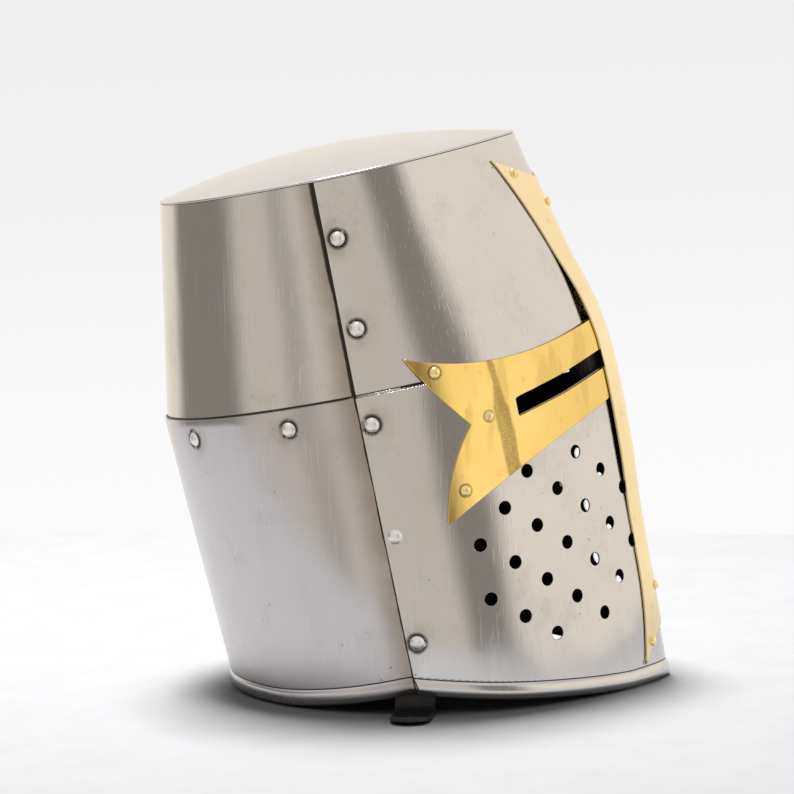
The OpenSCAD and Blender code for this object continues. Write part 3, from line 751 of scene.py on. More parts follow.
upper_rear = sheet("upper_rear_plate_steel", [box_loop(REAR_LEFT, REAR_RIGHT, -20.0, TOP_H)],
                   grid(REAR_LEFT, REAR_RIGHT, -20, TOP_H, 4, 7), placer(lambda q: 0 * q),
                   material=[MAT_UPPER_REAR, BLACK])

SIGHT_BACK = -82.5
SIGHT_LOW = [(-82.5, -28.3), (-105.5, -23.4), (-126.5, -17.0)]
SIGHT_H = 10.0


def sight_low(y):
    ys = [p[0] for p in SIGHT_LOW][::-1]
    return np.interp(y, ys, [p[1] for p in SIGHT_LOW][::-1])


SIGHT_Q = float(q_from_y(SIGHT_BACK, -23.0)[0])


def upper_front_low(u):
    """The upper front plate's hidden lower edge, which rises over the sights."""
    q = abs(u) / ARC
    y = float(wall(np.array(q), np.array(-15.0), 1.0, False)[1])
    over_sight = max(-20.0, float(sight_low(y)) + SIGHT_H + 1.2)
    return mix(-20.0, over_sight, float(smooth((SIGHT_Q + 0.06 - q) / 0.05)))


upper_front = sheet("upper_front_plate_steel", [box_loop(FRONT_LEFT, FRONT_RIGHT, upper_front_low, TOP_H)],
                    grid(FRONT_LEFT, FRONT_RIGHT, -20, TOP_H, 3.2, 6), placer(upper_front_off),
                    material=[MAT_UPPER_FRONT, BLACK])

# the rolled bead along the rim: how far down from its crease and how far out, along its unrolled length
BEAD = np.array([(0, 0), (0.35, -0.3), (0.7, 0.1), (1.3, 0.6), (2.6, 0.95), (4.8, 1.1), (7.0, 1.0),
                 (8.5, 0.6), (9.5, -0.2), (9.9, -1.1)])
BEAD_RUN = np.concatenate([[0], np.cumsum(np.linalg.norm(np.diff(BEAD, axis=0), axis=1))])


def lower_placer(off_of_q):
    def place(p2, off):
        p = p2[:, 0] / ARC
        q = wrap(p)
        base = off_of_q(q)
        crease = rim_h(p, base + 2.0) + BEAD_H
        run = np.clip(crease - p2[:, 1], 0, None)
        down = np.interp(run, BEAD_RUN, BEAD[:, 0])
        out = np.interp(run, BEAD_RUN, BEAD[:, 1])
        # the sheet's thickness turns with the bead where it curls under
        curl = smooth((run - BEAD_RUN[-4]) / (BEAD_RUN[-1] - BEAD_RUN[-4]))
        h = np.where(run > 0, crease - down * 0.925 - off * curl * 0.5, p2[:, 1])
        return wall(p, h, base + out + off * (1 - 0.35 * curl))
    return place


def lower_plate(name, u0, u1, off_of_q, holes, material, du, high):
    def crease(u):
        p = np.atleast_1d(u) / ARC
        return rim_h(p, off_of_q(wrap(p)) + 2.0) + BEAD_H

    def from_crease(p2):
        return np.stack([p2[:, 0], p2[:, 1] - crease(p2[:, 0])], 1)

    def low(u):
        return float(crease(u)[0]) - BEAD_RUN[-1]

    pts = []
    for u in np.arange(u0 + du / 2, u1, du):
        c = float(crease(u)[0])
        pts += [(u, c - r) for r in (0.3, 0.55, 0.95, 1.6, 2.8, 4.8, 6.8, 8.2, 9.4, 10.4)]
        pts += [(u, c), (u, c + 0.5), (u, c + 1.6), (u, c + 3.6)]
        pts += [(u, v) for v in np.linspace(c + 7, BROW_H, 26)]
    return sheet(name, [box_loop(u0, u1, low, high, du)] + holes, pts, lower_placer(off_of_q),
                 material=[material, BLACK], clear=0.45, uv_of=from_crease)


def lower_rear_high(u):
    """Its top edge peeps over the front plate's as far as the two lap."""
    q = abs(float(wrap(np.array(u / ARC))))
    return BROW_H + 1.1 * float(smooth((SEAM_Q + 0.02 - q) / 0.02))


lower_rear = lower_plate("lower_rear_plate_steel", REAR_LEFT, REAR_RIGHT, lower_rear_off, [],
                         MAT_LOWER_REAR, 4.0, lower_rear_high)


def sight_loop(grow_low, side, front_y=-127.5):
    """The sight slit in unrolled coordinates."""
    ys = np.linspace(front_y, SIGHT_BACK, 22)
    low = sight_low(ys) - grow_low
    high = sight_low(ys) + SIGHT_H
    corner = 0.7
    side_view = list(zip(ys, low))[:-1] + [(SIGHT_BACK - corner * 0.6, low[-1] + 0.1)]
    side_view += [(SIGHT_BACK, low[-1] + corner), (SIGHT_BACK, mix(low[-1], high[-1], 0.5)),
                  (SIGHT_BACK, high[-1] - corner), (SIGHT_BACK - corner * 0.6, high[-1] - 0.1)]
    side_view = np.array(side_view + list(zip(ys, high))[-2::-1])
    q = np.maximum(q_from_y(side_view[:, 0], side_view[:, 1]), 0.05)
    return anticlockwise(np.stack([side * q * ARC, side_view[:, 1]], 1), False)


front_holes = [circle_loop(s * q, h, 2.0, 3.6) for q, h in BREATHS for s in (-1, 1)]
front_holes += [sight_loop(-0.4, s) for s in (-1, 1)]
lower_front = lower_plate("lower_front_plate_steel", FRONT_LEFT, FRONT_RIGHT, lower_front_off, front_holes,
                          MAT_LOWER_FRONT, 3.2, BROW_H)


# ---------------------------------------------------------------- top plate
def top_off(q):
    return SHEET + PITCH * (over_rear(q) - smooth((np.abs(q) - SEAM_Q) / 0.03))


DOME_RISE = 12.0


def top_plate():
    n = 220
    q = -2 + 4 * np.arange(n) / n
    edge = wall(q, np.full(n, TOP_H), top_off(q), False)
    # share of the way out and height over the walls' top, from the middle of the dome round to its underside
    rows = []
    for r in list(np.linspace(0.03, 0.95, 26)) + [0.975, 0.988, 0.995]:
        rows.append((r, 0.15 + SHEET + DOME_RISE * max(0.0, 1 - (r / 0.99) ** 2)))
    rows += [(0.998, SHEET + 0.05), (1.0, SHEET - 0.3), (1.0, 0.25), (0.996, 0.05), (0.975, 0.05)]
    rows += [(r, 0.15 + DOME_RISE * max(0.0, 1 - (r / 0.975) ** 2)) for r in np.linspace(0.95, 0.03, 14)]
    m = len(rows)
    v = [np.stack([edge[:, 0] * r, edge[:, 1] * r, np.full(n, TOP_H + z)], -1) for r, z in rows]
    v = np.concatenate(v + [[[0, 0, TOP_H + rows[0][1]], [0, 0, TOP_H + rows[-1][1]]]])
    top_mid, under_mid = m * n, m * n + 1
    faces = [((i + 1) * n + j, (i + 1) * n + (j + 1) % n, i * n + (j + 1) % n, i * n + j)
             for i in range(m - 1) for j in range(n)]
    faces += [(j, (j + 1) % n, top_mid) for j in range(n)]
    faces += [((m - 1) * n + (j + 1) % n, (m - 1) * n + j, under_mid) for j in range(n)]
    inner = next(i for i, (r, z) in enumerate(rows) if z < 0.1)
    slots = [int(i >= inner) for i in range(m - 1) for _ in range(n)] + [0] * n + [1] * n
    return new_object("top_plate_steel", stand(v), faces, None, [MAT_TOP, BLACK], v[:, :2] * MM, slots)


top = top_plate()


# ---------------------------------------------------------------- brass cross
def curve(a, b, c, n=14):
    t = np.linspace(0, 1, n)[:, None]
    a, b, c = (np.array(p, float) for p in (a, b, c))
    return list((1 - t) ** 2 * a + 2 * t * (1 - t) * b + t * t * c)


def arm_loop():
    side_view = (curve((-133, 13.5), (-84, -6), (-31, 16.6), 24)
                 + curve((-32.5, 13.5), (-43.5, -6), (-58, -26), 12)
                 + curve((-57, -27.4), (-42.5, -46), (-36.8, -74.5), 14)
                 + curve((-38, -75.6), (-78, -54), (-133, -31.5), 26))
    side_view = np.array([p for p in side_view if p[0] > -128])
    q = q_from_y(side_view[:, 0], side_view[:, 1])
    flat = np.stack([q * ARC, side_view[:, 1]], 1)
    flat = np.concatenate([[(0.045 * ARC, 13.5)], flat, [(0.045 * ARC, -31.5)]])
    return resample(anticlockwise(flat), 3.0)


def arm_normals(p2):
    """The arm is one smooth sheet over the brow, with a soft crease just behind the sight."""
    q, h = p2[:, 0] / ARC, p2[:, 1]
    above, below = (wall_normal(q, np.full(len(q), level), 3.0) for level in (30.0, -40.0))
    n = unit(mix(above, below, (0.4 + 0.4 * smooth((14 - h) / 70))[:, None]))
    a = math.radians(-12) * smooth((q - 0.55 - 0.0003 * (h + 25)) / 0.05)
    c, d = np.cos(a), np.sin(a)
    return np.stack([n[:, 0] * c - n[:, 1] * d, n[:, 0] * d + n[:, 1] * c, n[:, 2]], 1)


arm_left = sheet("cross_arm_left_brass", [arm_loop(), sight_loop(0.0, 1, -126.0)],
                 grid(5, 132, -78, 20, 2.2, 3.0), placer(arm_off), chamfer=0.35, material=[MAT_ARM, MAT_ARM],
                 bend=arm_normals)
arm_right = mirror_x(arm_left, "cross_arm_right_brass")


def bar_off(h):
    return PITCH * (1 + 2 * smooth((55 - h) / 45) - smooth((-62 - h) / 40))


def bar_place(p2, off):
    """The bar lies along the wall, x being its distance from the ridge."""
    x, h = p2[:, 0], p2[:, 1]
    out = bar_off(h) + off
    w = (wall_dims(h) + out[:, None])[:, 0]
    q = np.abs(x) / (1.5 * w)
    for _ in range(6):
        q = q - (w * (1.5 * q - 0.5 * q ** 3) - np.abs(x)) / (w * (1.5 - 1.5 * q * q))
    return wall(q * np.sign(x), h, out, False)


def bar_half_width(h):
    flare_up = 17.7 * np.clip((h - 20) / 87, 0, None) ** 1.9
    flare_down = 8.8 * np.clip((-130 - h) / 53, 0, None) ** 1.9
    return 15.6 + flare_up + flare_down


BAR_TOP, BAR_TOP_V, BAR_FOOT, BAR_FOOT_V = 107.0, 91.5, -183.0, -162.0
hs = np.linspace(BAR_TOP - 3.0, BAR_FOOT + 3.0, 90)
right_edge = [(float(bar_half_width(h)), h) for h in hs]
tip = (float(bar_half_width(BAR_TOP)) + 0.4, BAR_TOP)
foot = (float(bar_half_width(BAR_FOOT)) + 0.2, BAR_FOOT)
half = [(mix(0, tip[0], t), mix(BAR_TOP_V, BAR_TOP, t ** 1.15)) for t in np.linspace(0.08, 0.92, 12)]
half += [tip] + right_edge + [foot]
half += [(mix(foot[0], 0, t), mix(BAR_FOOT, BAR_FOOT_V, t ** 0.9)) for t in np.linspace(0.12, 0.92, 9)]
bar_loop = anticlockwise([(0, BAR_TOP_V)] + half + [(0, BAR_FOOT_V)] + [(-x, h) for x, h in half[::-1]])
bar_x = [0, 0.8, 1.8, 3.6, 6.5, 10, 14, 18, 22, 26, 30]
bar_pts = [(x, h) for h in np.linspace(-184, 108, 84) for x in [-x for x in bar_x[:0:-1]] + bar_x]
bar = sheet("cross_bar_brass", [bar_loop], bar_pts, bar_place, chamfer=0.35, material=[MAT_BAR, MAT_BAR],
            clear=0.6)


# ---------------------------------------------------------------- rivets
def dome_profile(r, h):
    ball = (r * r + h * h) / (2 * h)
    top_angle = math.asin(min(1.0, r / ball))
    pts = [(r * 0.985, -0.35), (r, 0.0), (r, 0.175)]
    for i in range(11):
        a = top_angle * (1 - i / 10) * 0.985
        pts.append((ball * math.sin(a), h - ball + ball * math.cos(a)))
    return pts


def lathe(profile, centre, axis, jitter, n=36):
    """Points and faces of a profile of (radius, height) turned about an axis, in row metres."""
    axis = Vector(axis).normalized()
    ref = Vector((0, 0, 1)) if abs(axis.z) < 0.9 else Vector((1, 0, 0))
    a = axis.cross(ref).normalized()
    b = axis.cross(a)
    verts, faces = [], []
    for r, z in profile:
        for i in range(n):
            t = 2 * math.pi * i / n
            wob = 1 + jitter[0] * math.cos(t + jitter[1]) + jitter[0] * 0.6 * math.cos(2 * t + jitter[2])
            p = Vector(centre) + (a * math.cos(t) + b * math.sin(t)) * r * wob * MM + axis * z * MM
            verts.append(tuple(p))
    m = len(profile)
    for k in range(m - 1):
        for i in range(n):
            j = (i + 1) % n
            faces.append((k * n + i, k * n + j, (k + 1) * n + j, (k + 1) * n + i))
    verts.append(tuple(Vector(centre) + axis * profile[-1][1] * MM))
    faces += [((m - 1) * n + i, (m - 1) * n + (i + 1) % n, m * n) for i in range(n)]
    verts.append(tuple(Vector(centre) + axis * profile[0][1] * MM))
    faces += [((i + 1) % n, i, m * n + 1) for i in range(n)]
    return verts, faces


def joined(name, parts, material):
    """One piece from several (points, faces)."""
    verts, faces = [], []
    for v, f in parts:
        k = len(verts)
        verts += v
        faces += [tuple(i + k for i in g) for g in f]
    return new_object(name, verts, faces, None, material)


rng = np.random.default_rng(7)
STEEL_HEAD, BRASS_HEAD, STRAP_HEAD = (3.95, 2.3), (3.1, 2.0), (4.2, 2.3)  # radius and height


def rivet_piece(name, places, head, tail_r, grip, material):
    """Rivets with a domed head outside and a set tail inside, at each (seat point, axis) in row metres."""
    parts = []
    for seat, axis in places:
        jitter = (0.02 * rng.random() + 0.005, rng.random() * 6.3, rng.random() * 6.3)
        size = 1 + 0.05 * (rng.random() - 0.5)
        dome = [(r * size, z * size) for r, z in dome_profile(*head)]
        inner = Vector(seat) - Vector(axis).normalized() * grip * MM
        shank = [(tail_r * 0.62, 0.0), (tail_r * 0.62, grip - 0.2)]
        parts += [lathe(dome, seat, axis, jitter),
                  lathe(dome_profile(tail_r, 1.2), inner, -Vector(axis), jitter),
                  lathe(shank, inner, axis, jitter)]
    return joined(name, parts, material)


def wall_seat(at, off, side=1):
    p, h = np.array(at[0]), np.array(at[1])
    if side < 0:
        p = 4 - p if at[0] > 1 else -p
    point = stand(wall(p, h, off))
    axis = stand_dir(wall_normal(p, h, 0.0))
    return tuple(point), tuple(axis)


made = {}
for side, word in ((-1, "right"), (1, "left")):
    made["upper_seam_rivets_" + word] = rivet_piece(
        "upper_seam_rivets_%s_domed" % word, [wall_seat(a, PITCH + SHEET, side) for a in UPPER_SEAM],
        STEEL_HEAD, 3.5, 2 * PITCH, MAT_RIVET)
    made["lower_seam_rivets_" + word] = rivet_piece(
        "lower_seam_rivets_%s_domed" % word,
        [wall_seat(a, 3 * PITCH + SHEET, side) for a in (CORNER, LOWER_SEAM)],
        STEEL_HEAD, 3.5, 2.8, MAT_RIVET)
    made["arm_rivets_" + word] = rivet_piece(
        "arm_rivets_%s_domed" % word,
        [wall_seat(a, float(arm_off(np.array(a[0]))) + SHEET, side) for a in ARM_RIVETS],
        BRASS_HEAD, 2.6, 2 * PITCH, MAT_BRASS_RIVET)
made["brow_rivets"] = rivet_piece(
    "brow_rivets_domed",
    [wall_seat(a, float(lower_rear_off(wrap(np.array(a[0])))) + SHEET) for a in BROW_RIVETS],
    STEEL_HEAD, 3.5, 5.2, MAT_RIVET)


def bar_seat(x, h):
    p = np.array([[x, h]], float)
    axis = stand_dir(surface_normal(bar_place, p, SHEET)[0])
    return tuple(stand(bar_place(p, SHEET))[0]), tuple(axis)


BAR_TOP_RIVETS = [(-21.5, 97), (21.5, 97), (0, 77)]
BAR_FOOT_RIVETS = [(-16, -172), (16, -172), (0, -144)]
made["bar_rivets_top"] = rivet_piece("bar_rivets_top_domed", [bar_seat(*a) for a in BAR_TOP_RIVETS],
                                     BRASS_HEAD, 2.3, 5.0, MAT_BRASS_RIVET)
made["bar_rivets_bottom"] = rivet_piece("bar_rivets_bottom_domed", [bar_seat(*a) for a in BAR_FOOT_RIVETS],
                                        BRASS_HEAD, 2.3, 6.0, MAT_BRASS_RIVET)

for node, piece in made.items():
    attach(piece, "helm")
    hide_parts(node)
    "rivet_brass" if "arm" in node or "bar" in node else "rivet_steel"
for piece, node in ((upper_rear, "upper_rear_plate"), (upper_front, "upper_front_plate"),
                    (lower_rear, "lower_rear_plate"), (lower_front, "lower_front_plate"), (top, "top_plate"),
                    (arm_left, "cross_arm_left"), (arm_right, "cross_arm_right"), (bar, "cross_bar")):
    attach(piece, "helm")
    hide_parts(node)
    "brass" if "cross" in node else "steel"


# ---------------------------------------------------------------- chin straps
STRAP_W, STRAP_T = 22.0, 2.2
STRAP_END, PIVOT_HOLE = 11, 2.25  # from the strap's end to its rivet, and the rivet hole's radius
PIVOT = np.array([98.199, -2.9276, 97.9742])  # the left strap's, as in the CAD
BEND_R, LIE_Z = 9.0, 1.3
BEND_X = PIVOT[0] + BEND_R + 2.2  # the tail's hinge
TAIL = 22.5
BAR_X, BAR_Z = BEND_X + 19.0, 3.76
WIRE_R = 1.4


def densify(points, step):
    out = [np.array(points[0], float)]
    for a, b in zip(points, points[1:]):
        a, b = np.array(a, float), np.array(b, float)
        n = max(1, int(math.ceil(np.linalg.norm(b - a) / step)))
        out += [mix(a, b, i / n) for i in range(1, n + 1)]
    return np.array(out)


def arc(cx, cz, r, a0, a1, n=12):
    return [(cx + r * math.cos(math.radians(a)), cz + r * math.sin(math.radians(a)))
            for a in np.linspace(a0, a1, n)]


class Path:
    """A strap's middle line in side view, as (x, z) millimetres on the left, for a ribbon laid along it."""

    def __init__(self, points):
        p = densify(points, 0.8)
        run = np.concatenate([[0], np.cumsum(np.linalg.norm(np.diff(p, axis=0), axis=1))])
        self.length = run[-1]
        t = np.gradient(p, axis=0)
        for _ in range(6):
            t[1:-1] = (t[:-2] + t[1:-1] + t[2:]) / 3
        self.run, self.p, self.t = run, p, unit(t)

    def at(self, s):
        x, z = np.interp(s, self.run, self.p[:, 0]), np.interp(s, self.run, self.p[:, 1])
        t = unit(np.stack([np.interp(s, self.run, self.t[:, 0]), np.interp(s, self.run, self.t[:, 1])], -1))
        over = s - np.clip(s, 0, self.length)
        return x + t[:, 0] * over, z + t[:, 1] * over, t

    def where(self, x, z):
        return float(self.run[np.argmin(np.hypot(self.p[:, 0] - x, self.p[:, 1] - z))])


def capsule_loop(length, half, round_tip=True, n=18):
    """Outline of a strap's piece in (along, across), round at its start."""
    turn = np.linspace(-math.pi / 2, math.pi / 2, n)
    if round_tip:
        pts = [(length - half + half * math.cos(a), half * math.sin(a)) for a in turn]
    else:
        pts = [(length, -half), (length, half)]
    pts += [(half - half * math.cos(a), half * math.sin(a)) for a in -turn]
    return resample(pts, 1.6)


def ring_loop(s, t, r, n=16):
    a = -np.arange(n) / n * 2 * math.pi
    return np.stack([s + r * np.cos(a), t + r * np.sin(a)], 1)


def skew(z):
    """The leather leans a little towards the face as it hangs, as its rivet is not over its foot."""
    return -7.0 * smooth((PIVOT[2] - z) / (PIVOT[2] - 6))


def strap_ribbon(name, path, loop, holes, thick, outward, lean=0.0):
    """outward is 1 where the leather's outer face is on the left of its way along the path."""
    def place(p2, off):
        x, z, t = path.at(p2[:, 0])
        crown = 0.22 * (1 - (p2[:, 1] / 11) ** 2)
        o = outward * (off + (crown if off > thick / 2 else 0) - thick / 2)
        y = PIVOT[1] + outward * p2[:, 1] + lean * skew(z)
        return np.stack([x - t[:, 1] * o, y, z + t[:, 0] * o], -1)

    pts = grid(0.5, path.length - 0.5, -10.2, 10.2, 1.5, 1.7)
    return sheet(name, [anticlockwise(loop)] + [anticlockwise(h, False) for h in holes], pts, place,
                 thick=thick, chamfer=0.45, material=[MAT_STRAP, MAT_STRAP], clear=0.7, leans=False)


down = [(PIVOT[0], PIVOT[2] + 11), (PIVOT[0], LIE_Z + BEND_R)]
bend_arc = arc(PIVOT[0] + BEND_R, LIE_Z + BEND_R, BEND_R, 180, 270, 16)
tail_tip = [(BEND_X, LIE_Z), (BEND_X + 8, LIE_Z + 0.15), (BEND_X + 14, LIE_Z + 0.9),
            (BEND_X + TAIL - 0.3, LIE_Z + 2.2)]
path_r = Path(down + bend_arc[1:] + tail_tip)
hole_s = path_r.where(BEND_X + 10, LIE_Z + 0.3)
strap_mirror = strap_ribbon("unused", path_r, capsule_loop(path_r.length, STRAP_W / 2),
                            [ring_loop(STRAP_END, 0, PIVOT_HOLE), ring_loop(hole_s, 0, 1.7)],
                            STRAP_T, -1, 1.0)
strap_right = mirror_x(strap_mirror, "chin_strap_right_leather")
bpy.data.objects.remove(strap_mirror)
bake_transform(strap_right)
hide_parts("chin_strap_right", "strap_tail_right")

FOLD_R = WIRE_R + 0.07 + 1.05
fold = arc(BAR_X, BAR_Z, FOLD_R, -90, 90, 18)
back_end = [(BEND_X + 10.5, LIE_Z + 2.75), (BEND_X + 8, LIE_Z + 2.3), (BEND_X + 5.2, LIE_Z + 2.25)]
# it hangs a little clear of the rear plate's curled rim
down_l = [down[0], (PIVOT[0], 80), (PIVOT[0] - 1.0, 50), (PIVOT[0] - 1.0, LIE_Z + BEND_R)]
bend_l = [(x - (PIVOT[0] + BEND_R - x) / BEND_R, z) for x, z in bend_arc]
path_l = Path(down_l + bend_l[1:] + [(BEND_X, LIE_Z), (BEND_X + 12, LIE_Z)] + fold + back_end)
slot0, slot1 = path_l.where(BAR_X - 6.6, LIE_Z), path_l.where(BAR_X - 6.4, 5.1)
SLOT_R = 2.3
half_turn = np.linspace(-math.pi / 2, math.pi / 2, 9)
slot = [(slot0 + SLOT_R - SLOT_R * math.cos(a), SLOT_R * math.sin(a)) for a in half_turn]
slot += [(slot1 - SLOT_R + SLOT_R * math.cos(a), SLOT_R * math.sin(a)) for a in -half_turn]
strap_left = strap_ribbon("chin_strap_left_leather", path_l, capsule_loop(path_l.length, STRAP_W / 2, False),
                          [ring_loop(STRAP_END, 0, PIVOT_HOLE), resample(slot, 1.6)], 2.05, -1)
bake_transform(strap_left)
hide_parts("chin_strap_left", "strap_tail_left")


def tube(points, radii, closed=False, sides=14):
    """Round wire along points, in row metres. Returns vertices and faces."""
    p = np.array(points, float)
    n = len(p)
    t = unit(np.roll(p, -1, 0) - np.roll(p, 1, 0)) if closed else unit(np.gradient(p, axis=0))
    radii = np.broadcast_to(radii, n)
    a = np.cross(t[0], [0.31, 0.22, 0.92])
    verts, faces = [], []
    for i in range(n):
        a = a - t[i] * a.dot(t[i])
        a = a / np.linalg.norm(a)
        b = np.cross(t[i], a)
        for k in range(sides):
            ang = 2 * math.pi * k / sides
            verts.append(tuple((p[i] + (a * math.cos(ang) + b * math.sin(ang)) * radii[i]) * MM))
    last = n if closed else n - 1
    for i in range(last):
        j = (i + 1) % n
        for k in range(sides):
            m = (k + 1) % sides
            faces.append((i * sides + k, i * sides + m, j * sides + m, j * sides + k))
    if not closed:
        verts += [tuple(p[0] * MM), tuple(p[-1] * MM)]
        faces += [(k, len(verts) - 2, (k + 1) % sides) for k in range(sides)]
        faces += [((n - 1) * sides + k, (n - 1) * sides + (k + 1) % sides, len(verts) - 1)
                  for k in range(sides)]
    return verts, [f[::-1] for f in faces]


DROOP = math.asin((BAR_Z - WIRE_R - 0.2) / 22.0)


def at_bar(x, y, z):
    """From the buckle's own frame, on its heel bar, to the row frame in millimetres."""
    c, d = math.cos(DROOP), math.sin(DROOP)
    return (BAR_X + x * c + z * d, PIVOT[1] + y, BAR_Z - x * d + z * c)


def rounded_rectangle(x0, x1, half, r, n=7):
    corners = ((x1 - r, half - r, 0), (x0 + r, half - r, 90), (x0 + r, r - half, 180),
               (x1 - r, r - half, 270))
    return [p for cx, cy, a0 in corners for p in arc(cx, cy, r, a0, a0 + 90, n)]


frame_line = [at_bar(x, y, 0) for x, y in rounded_rectangle(0, 22, 14, 3.2) + [(22, 10.8)]]
frame_line = densify(frame_line, 1.2)[:-1]
buckle = joined("buckle_frame_wire", [tube(frame_line, WIRE_R, True)], MAT_BUCKLE)
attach(buckle, "buckle")
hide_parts("buckle_frame")
lift = WIRE_R + 1.2
prong_line = ((-1.2, lift - 0.75), (0.4, lift - 0.3), (3, lift - 0.1), (8, lift), (14, lift + 0.05),
              (20, lift + 0.1), (22.5, lift + 0.1), (24.2, lift - 0.1))
prong_line = densify([at_bar(x, 0, z) for x, z in prong_line], 1.0)
prong_r = np.interp(np.linspace(0, 1, len(prong_line)), [0, 0.1, 0.75, 0.95, 1], [0.9, 1.15, 1.0, 0.8, 0.45])
EYE_R = 2.12
eye = [at_bar(EYE_R * math.cos(a), 0, EYE_R * math.sin(a)) for a in np.arange(28) / 28 * 2 * math.pi]
eye_parts = [tube([(p[0], p[1] + dy, p[2]) for p in eye], 0.62, True, 10) for dy in (-0.95, 0, 0.95)]
prong = joined("buckle_prong_wire", [tube(prong_line, prong_r)] + eye_parts, MAT_BUCKLE)
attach(prong, "prong")
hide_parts("buckle_prong")

for side, word in ((-1, "right"), (1, "left")):
    seat = Vector(wall_seat(STRAP_AT, 3 * PITCH + SHEET, side)[0])
    seat.y, seat.z = PIVOT[1] * MM, PIVOT[2] * MM
    axis = Vector((side, 0, 0))
    grip = abs(seat.x) / MM - PIVOT[0] + STRAP_T / 2 + 0.3
    piece = rivet_piece("strap_rivet_%s_domed" % word, [(tuple(seat), tuple(axis))], STRAP_HEAD, 3.6, grip,
                        MAT_RIVET)
    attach(piece, "helm")
    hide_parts("strap_rivet_" + word)
    washer = lathe([(2.2, 0.1), (4.6, 0.0), (4.95, 0.35), (5.05, 1.5), (4.95, 2.65), (4.6, 3.0), (2.2, 2.9)],
                   Vector((side * 99.5, PIVOT[1], PIVOT[2])) * MM, axis, (0.012, 1.0, 2.0))
    piece = joined("strap_washer_%s_leather" % word, [washer], MAT_STRAP)
    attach(piece, "helm")
    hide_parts("strap_spacer_" + word)


# ---------------------------------------------------------------- liner
LINER_GAP, LINER_T, CROWN_H = 0.3, 2.0, 96.0


def liner_wall(p, h, inward):
    """A leather band inside the walls, flattened over the forehead."""
    q = wrap(p)
    d = wall_dims(h) - np.asarray(inward)[..., None]
    w, f = d[..., 0], d[..., 1]
    t = np.clip(np.abs(q), 0, 1)
    x = bezier((0 * w, 0.55 * w, w, w), t)
    y = bezier((15 - f, 15 - f, 6 - f / 2, 0 * w), t)
    rx, ry = outline(q, d)
    front = np.abs(q) <= 1
    return np.stack([np.where(front, x * np.sign(q), rx), np.where(front, y, ry), h + 0 * x], -1)


def forehead(q):
    return smooth((0.94 - np.abs(q)) / 0.14)


def band_low(q):
    return -20 + 35 * forehead(q)


def band_high(q):
    return 26 + 24 * forehead(q)


def band_place(p2, off):
    return liner_wall(p2[:, 0] / ARC, p2[:, 1], LINER_GAP + LINER_T - off)


END = 2 * ARC - 0.4
band = sheet("liner_headband_leather",
             [box_loop(-END, END, lambda u: float(band_low(u / ARC)),
                       lambda u: float(band_high(u / ARC)), 5.0)],
             grid(-END, END, -20, 50, 5.0, 5.0), band_place, thick=LINER_T, chamfer=0.4,
             material=[MAT_LINER, MAT_LINER])
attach(band, "helm")
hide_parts("liner_headband")


def petal_place(mid):
    def place(p2, off):
        u, v = p2[:, 0] / 60, np.clip(p2[:, 1] / 110, -0.02, 1.02)
        p = mid + 0.315 * (1 - 0.3 * v * v) * u
        q = np.where(p > 2, p - 4, np.where(p < -2, p + 4, p))
        base_h = band_high(q) - 12
        inward = LINER_GAP + LINER_T + 1.6 + LINER_T - off
        base = liner_wall(q, base_h, inward + 0 * u)
        share = 0.2 + 0.8 * np.cos(v * math.pi / 2)
        lift = np.sin(v * math.pi / 2)
        # each petal bellies a little between its seams
        slump = 1.2 * np.cos(u * math.pi / 2) * np.sin(v * math.pi)
        return np.stack([base[:, 0] * share, (base[:, 1] + 4) * share - 4,
                         mix(base_h, CROWN_H, lift) - (LINER_T - off) * lift - slump], -1)
    return place


def stitches(name, lines, body, pitch=5.5, length=3.4, r=0.42):
    """Rows of running stitches. lines are (points, normals) in row metres."""
    parts = []
    for pts, nrm in lines:
        run = np.concatenate([[0], np.cumsum(np.linalg.norm(np.diff(pts, axis=0), axis=1))]) / MM
        for s0 in np.arange(1.5, run[-1] - length - 1, pitch):
            ss = s0 + length * np.array([0, 0.12, 0.35, 0.65, 0.88, 1])
            p = np.stack([np.interp(ss, run, pts[:, k]) for k in range(3)], -1)
            m = unit(np.stack([np.interp(ss, run, nrm[:, k]) for k in range(3)], -1))
            rise = np.array([-0.3, 0.1, 0.32, 0.32, 0.1, -0.3])
            radii = np.array([0.7, 0.95, 1, 1, 0.95, 0.7]) * r
            parts.append(tube(p / MM + m * rise[:, None], radii, False, 6))
    ob = joined(name, parts, MAT_THREAD)
    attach(ob, body)
    return ob


def seam_line(place, flat):
    """Points and inward normals, in the row frame, along a line drawn on a placed sheet's inner face."""
    flat = np.array(flat, float)
    return stand(place(flat, 0.0)), -stand_dir(surface_normal(place, flat, 0.0))


seam_lines = []
for name, mid in (("front", 0.0), ("right_front", -0.667), ("right_rear", -1.333), ("rear", 2.0),
                  ("left_rear", 1.333), ("left_front", 0.667)):
    place = petal_place(mid)
    loop = resample([(-59.5, 0), (59.5, 0), (59.5, 107), (56, 110), (-56, 110), (-59.5, 107)], 5.0)
    petal = sheet("liner_petal_%s_leather" % name, [anticlockwise(loop)], grid(-56, 56, 3, 107, 6.5, 6.5),
                  place, thick=LINER_T, chamfer=0.4, material=[MAT_LINER, MAT_LINER])
    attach(petal, "helm")
    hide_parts("liner_petal_" + name)
    edge = [(-54.5, v) for v in np.linspace(104, 6, 30)] + [(u, 5) for u in np.linspace(-52, 52, 26)]
    edge += [(54.5, v) for v in np.linspace(6, 104, 30)]
    seam_lines.append(seam_line(place, edge))
for level, inset in ((band_low, 3.5), (band_high, -3.0)):
    us = np.linspace(-END + 3, END - 3, 160)
    seam_lines.append(seam_line(band_place, [(u, float(level(u / ARC)) + inset) for u in us]))
stitches("liner_stitching", seam_lines, "helm")


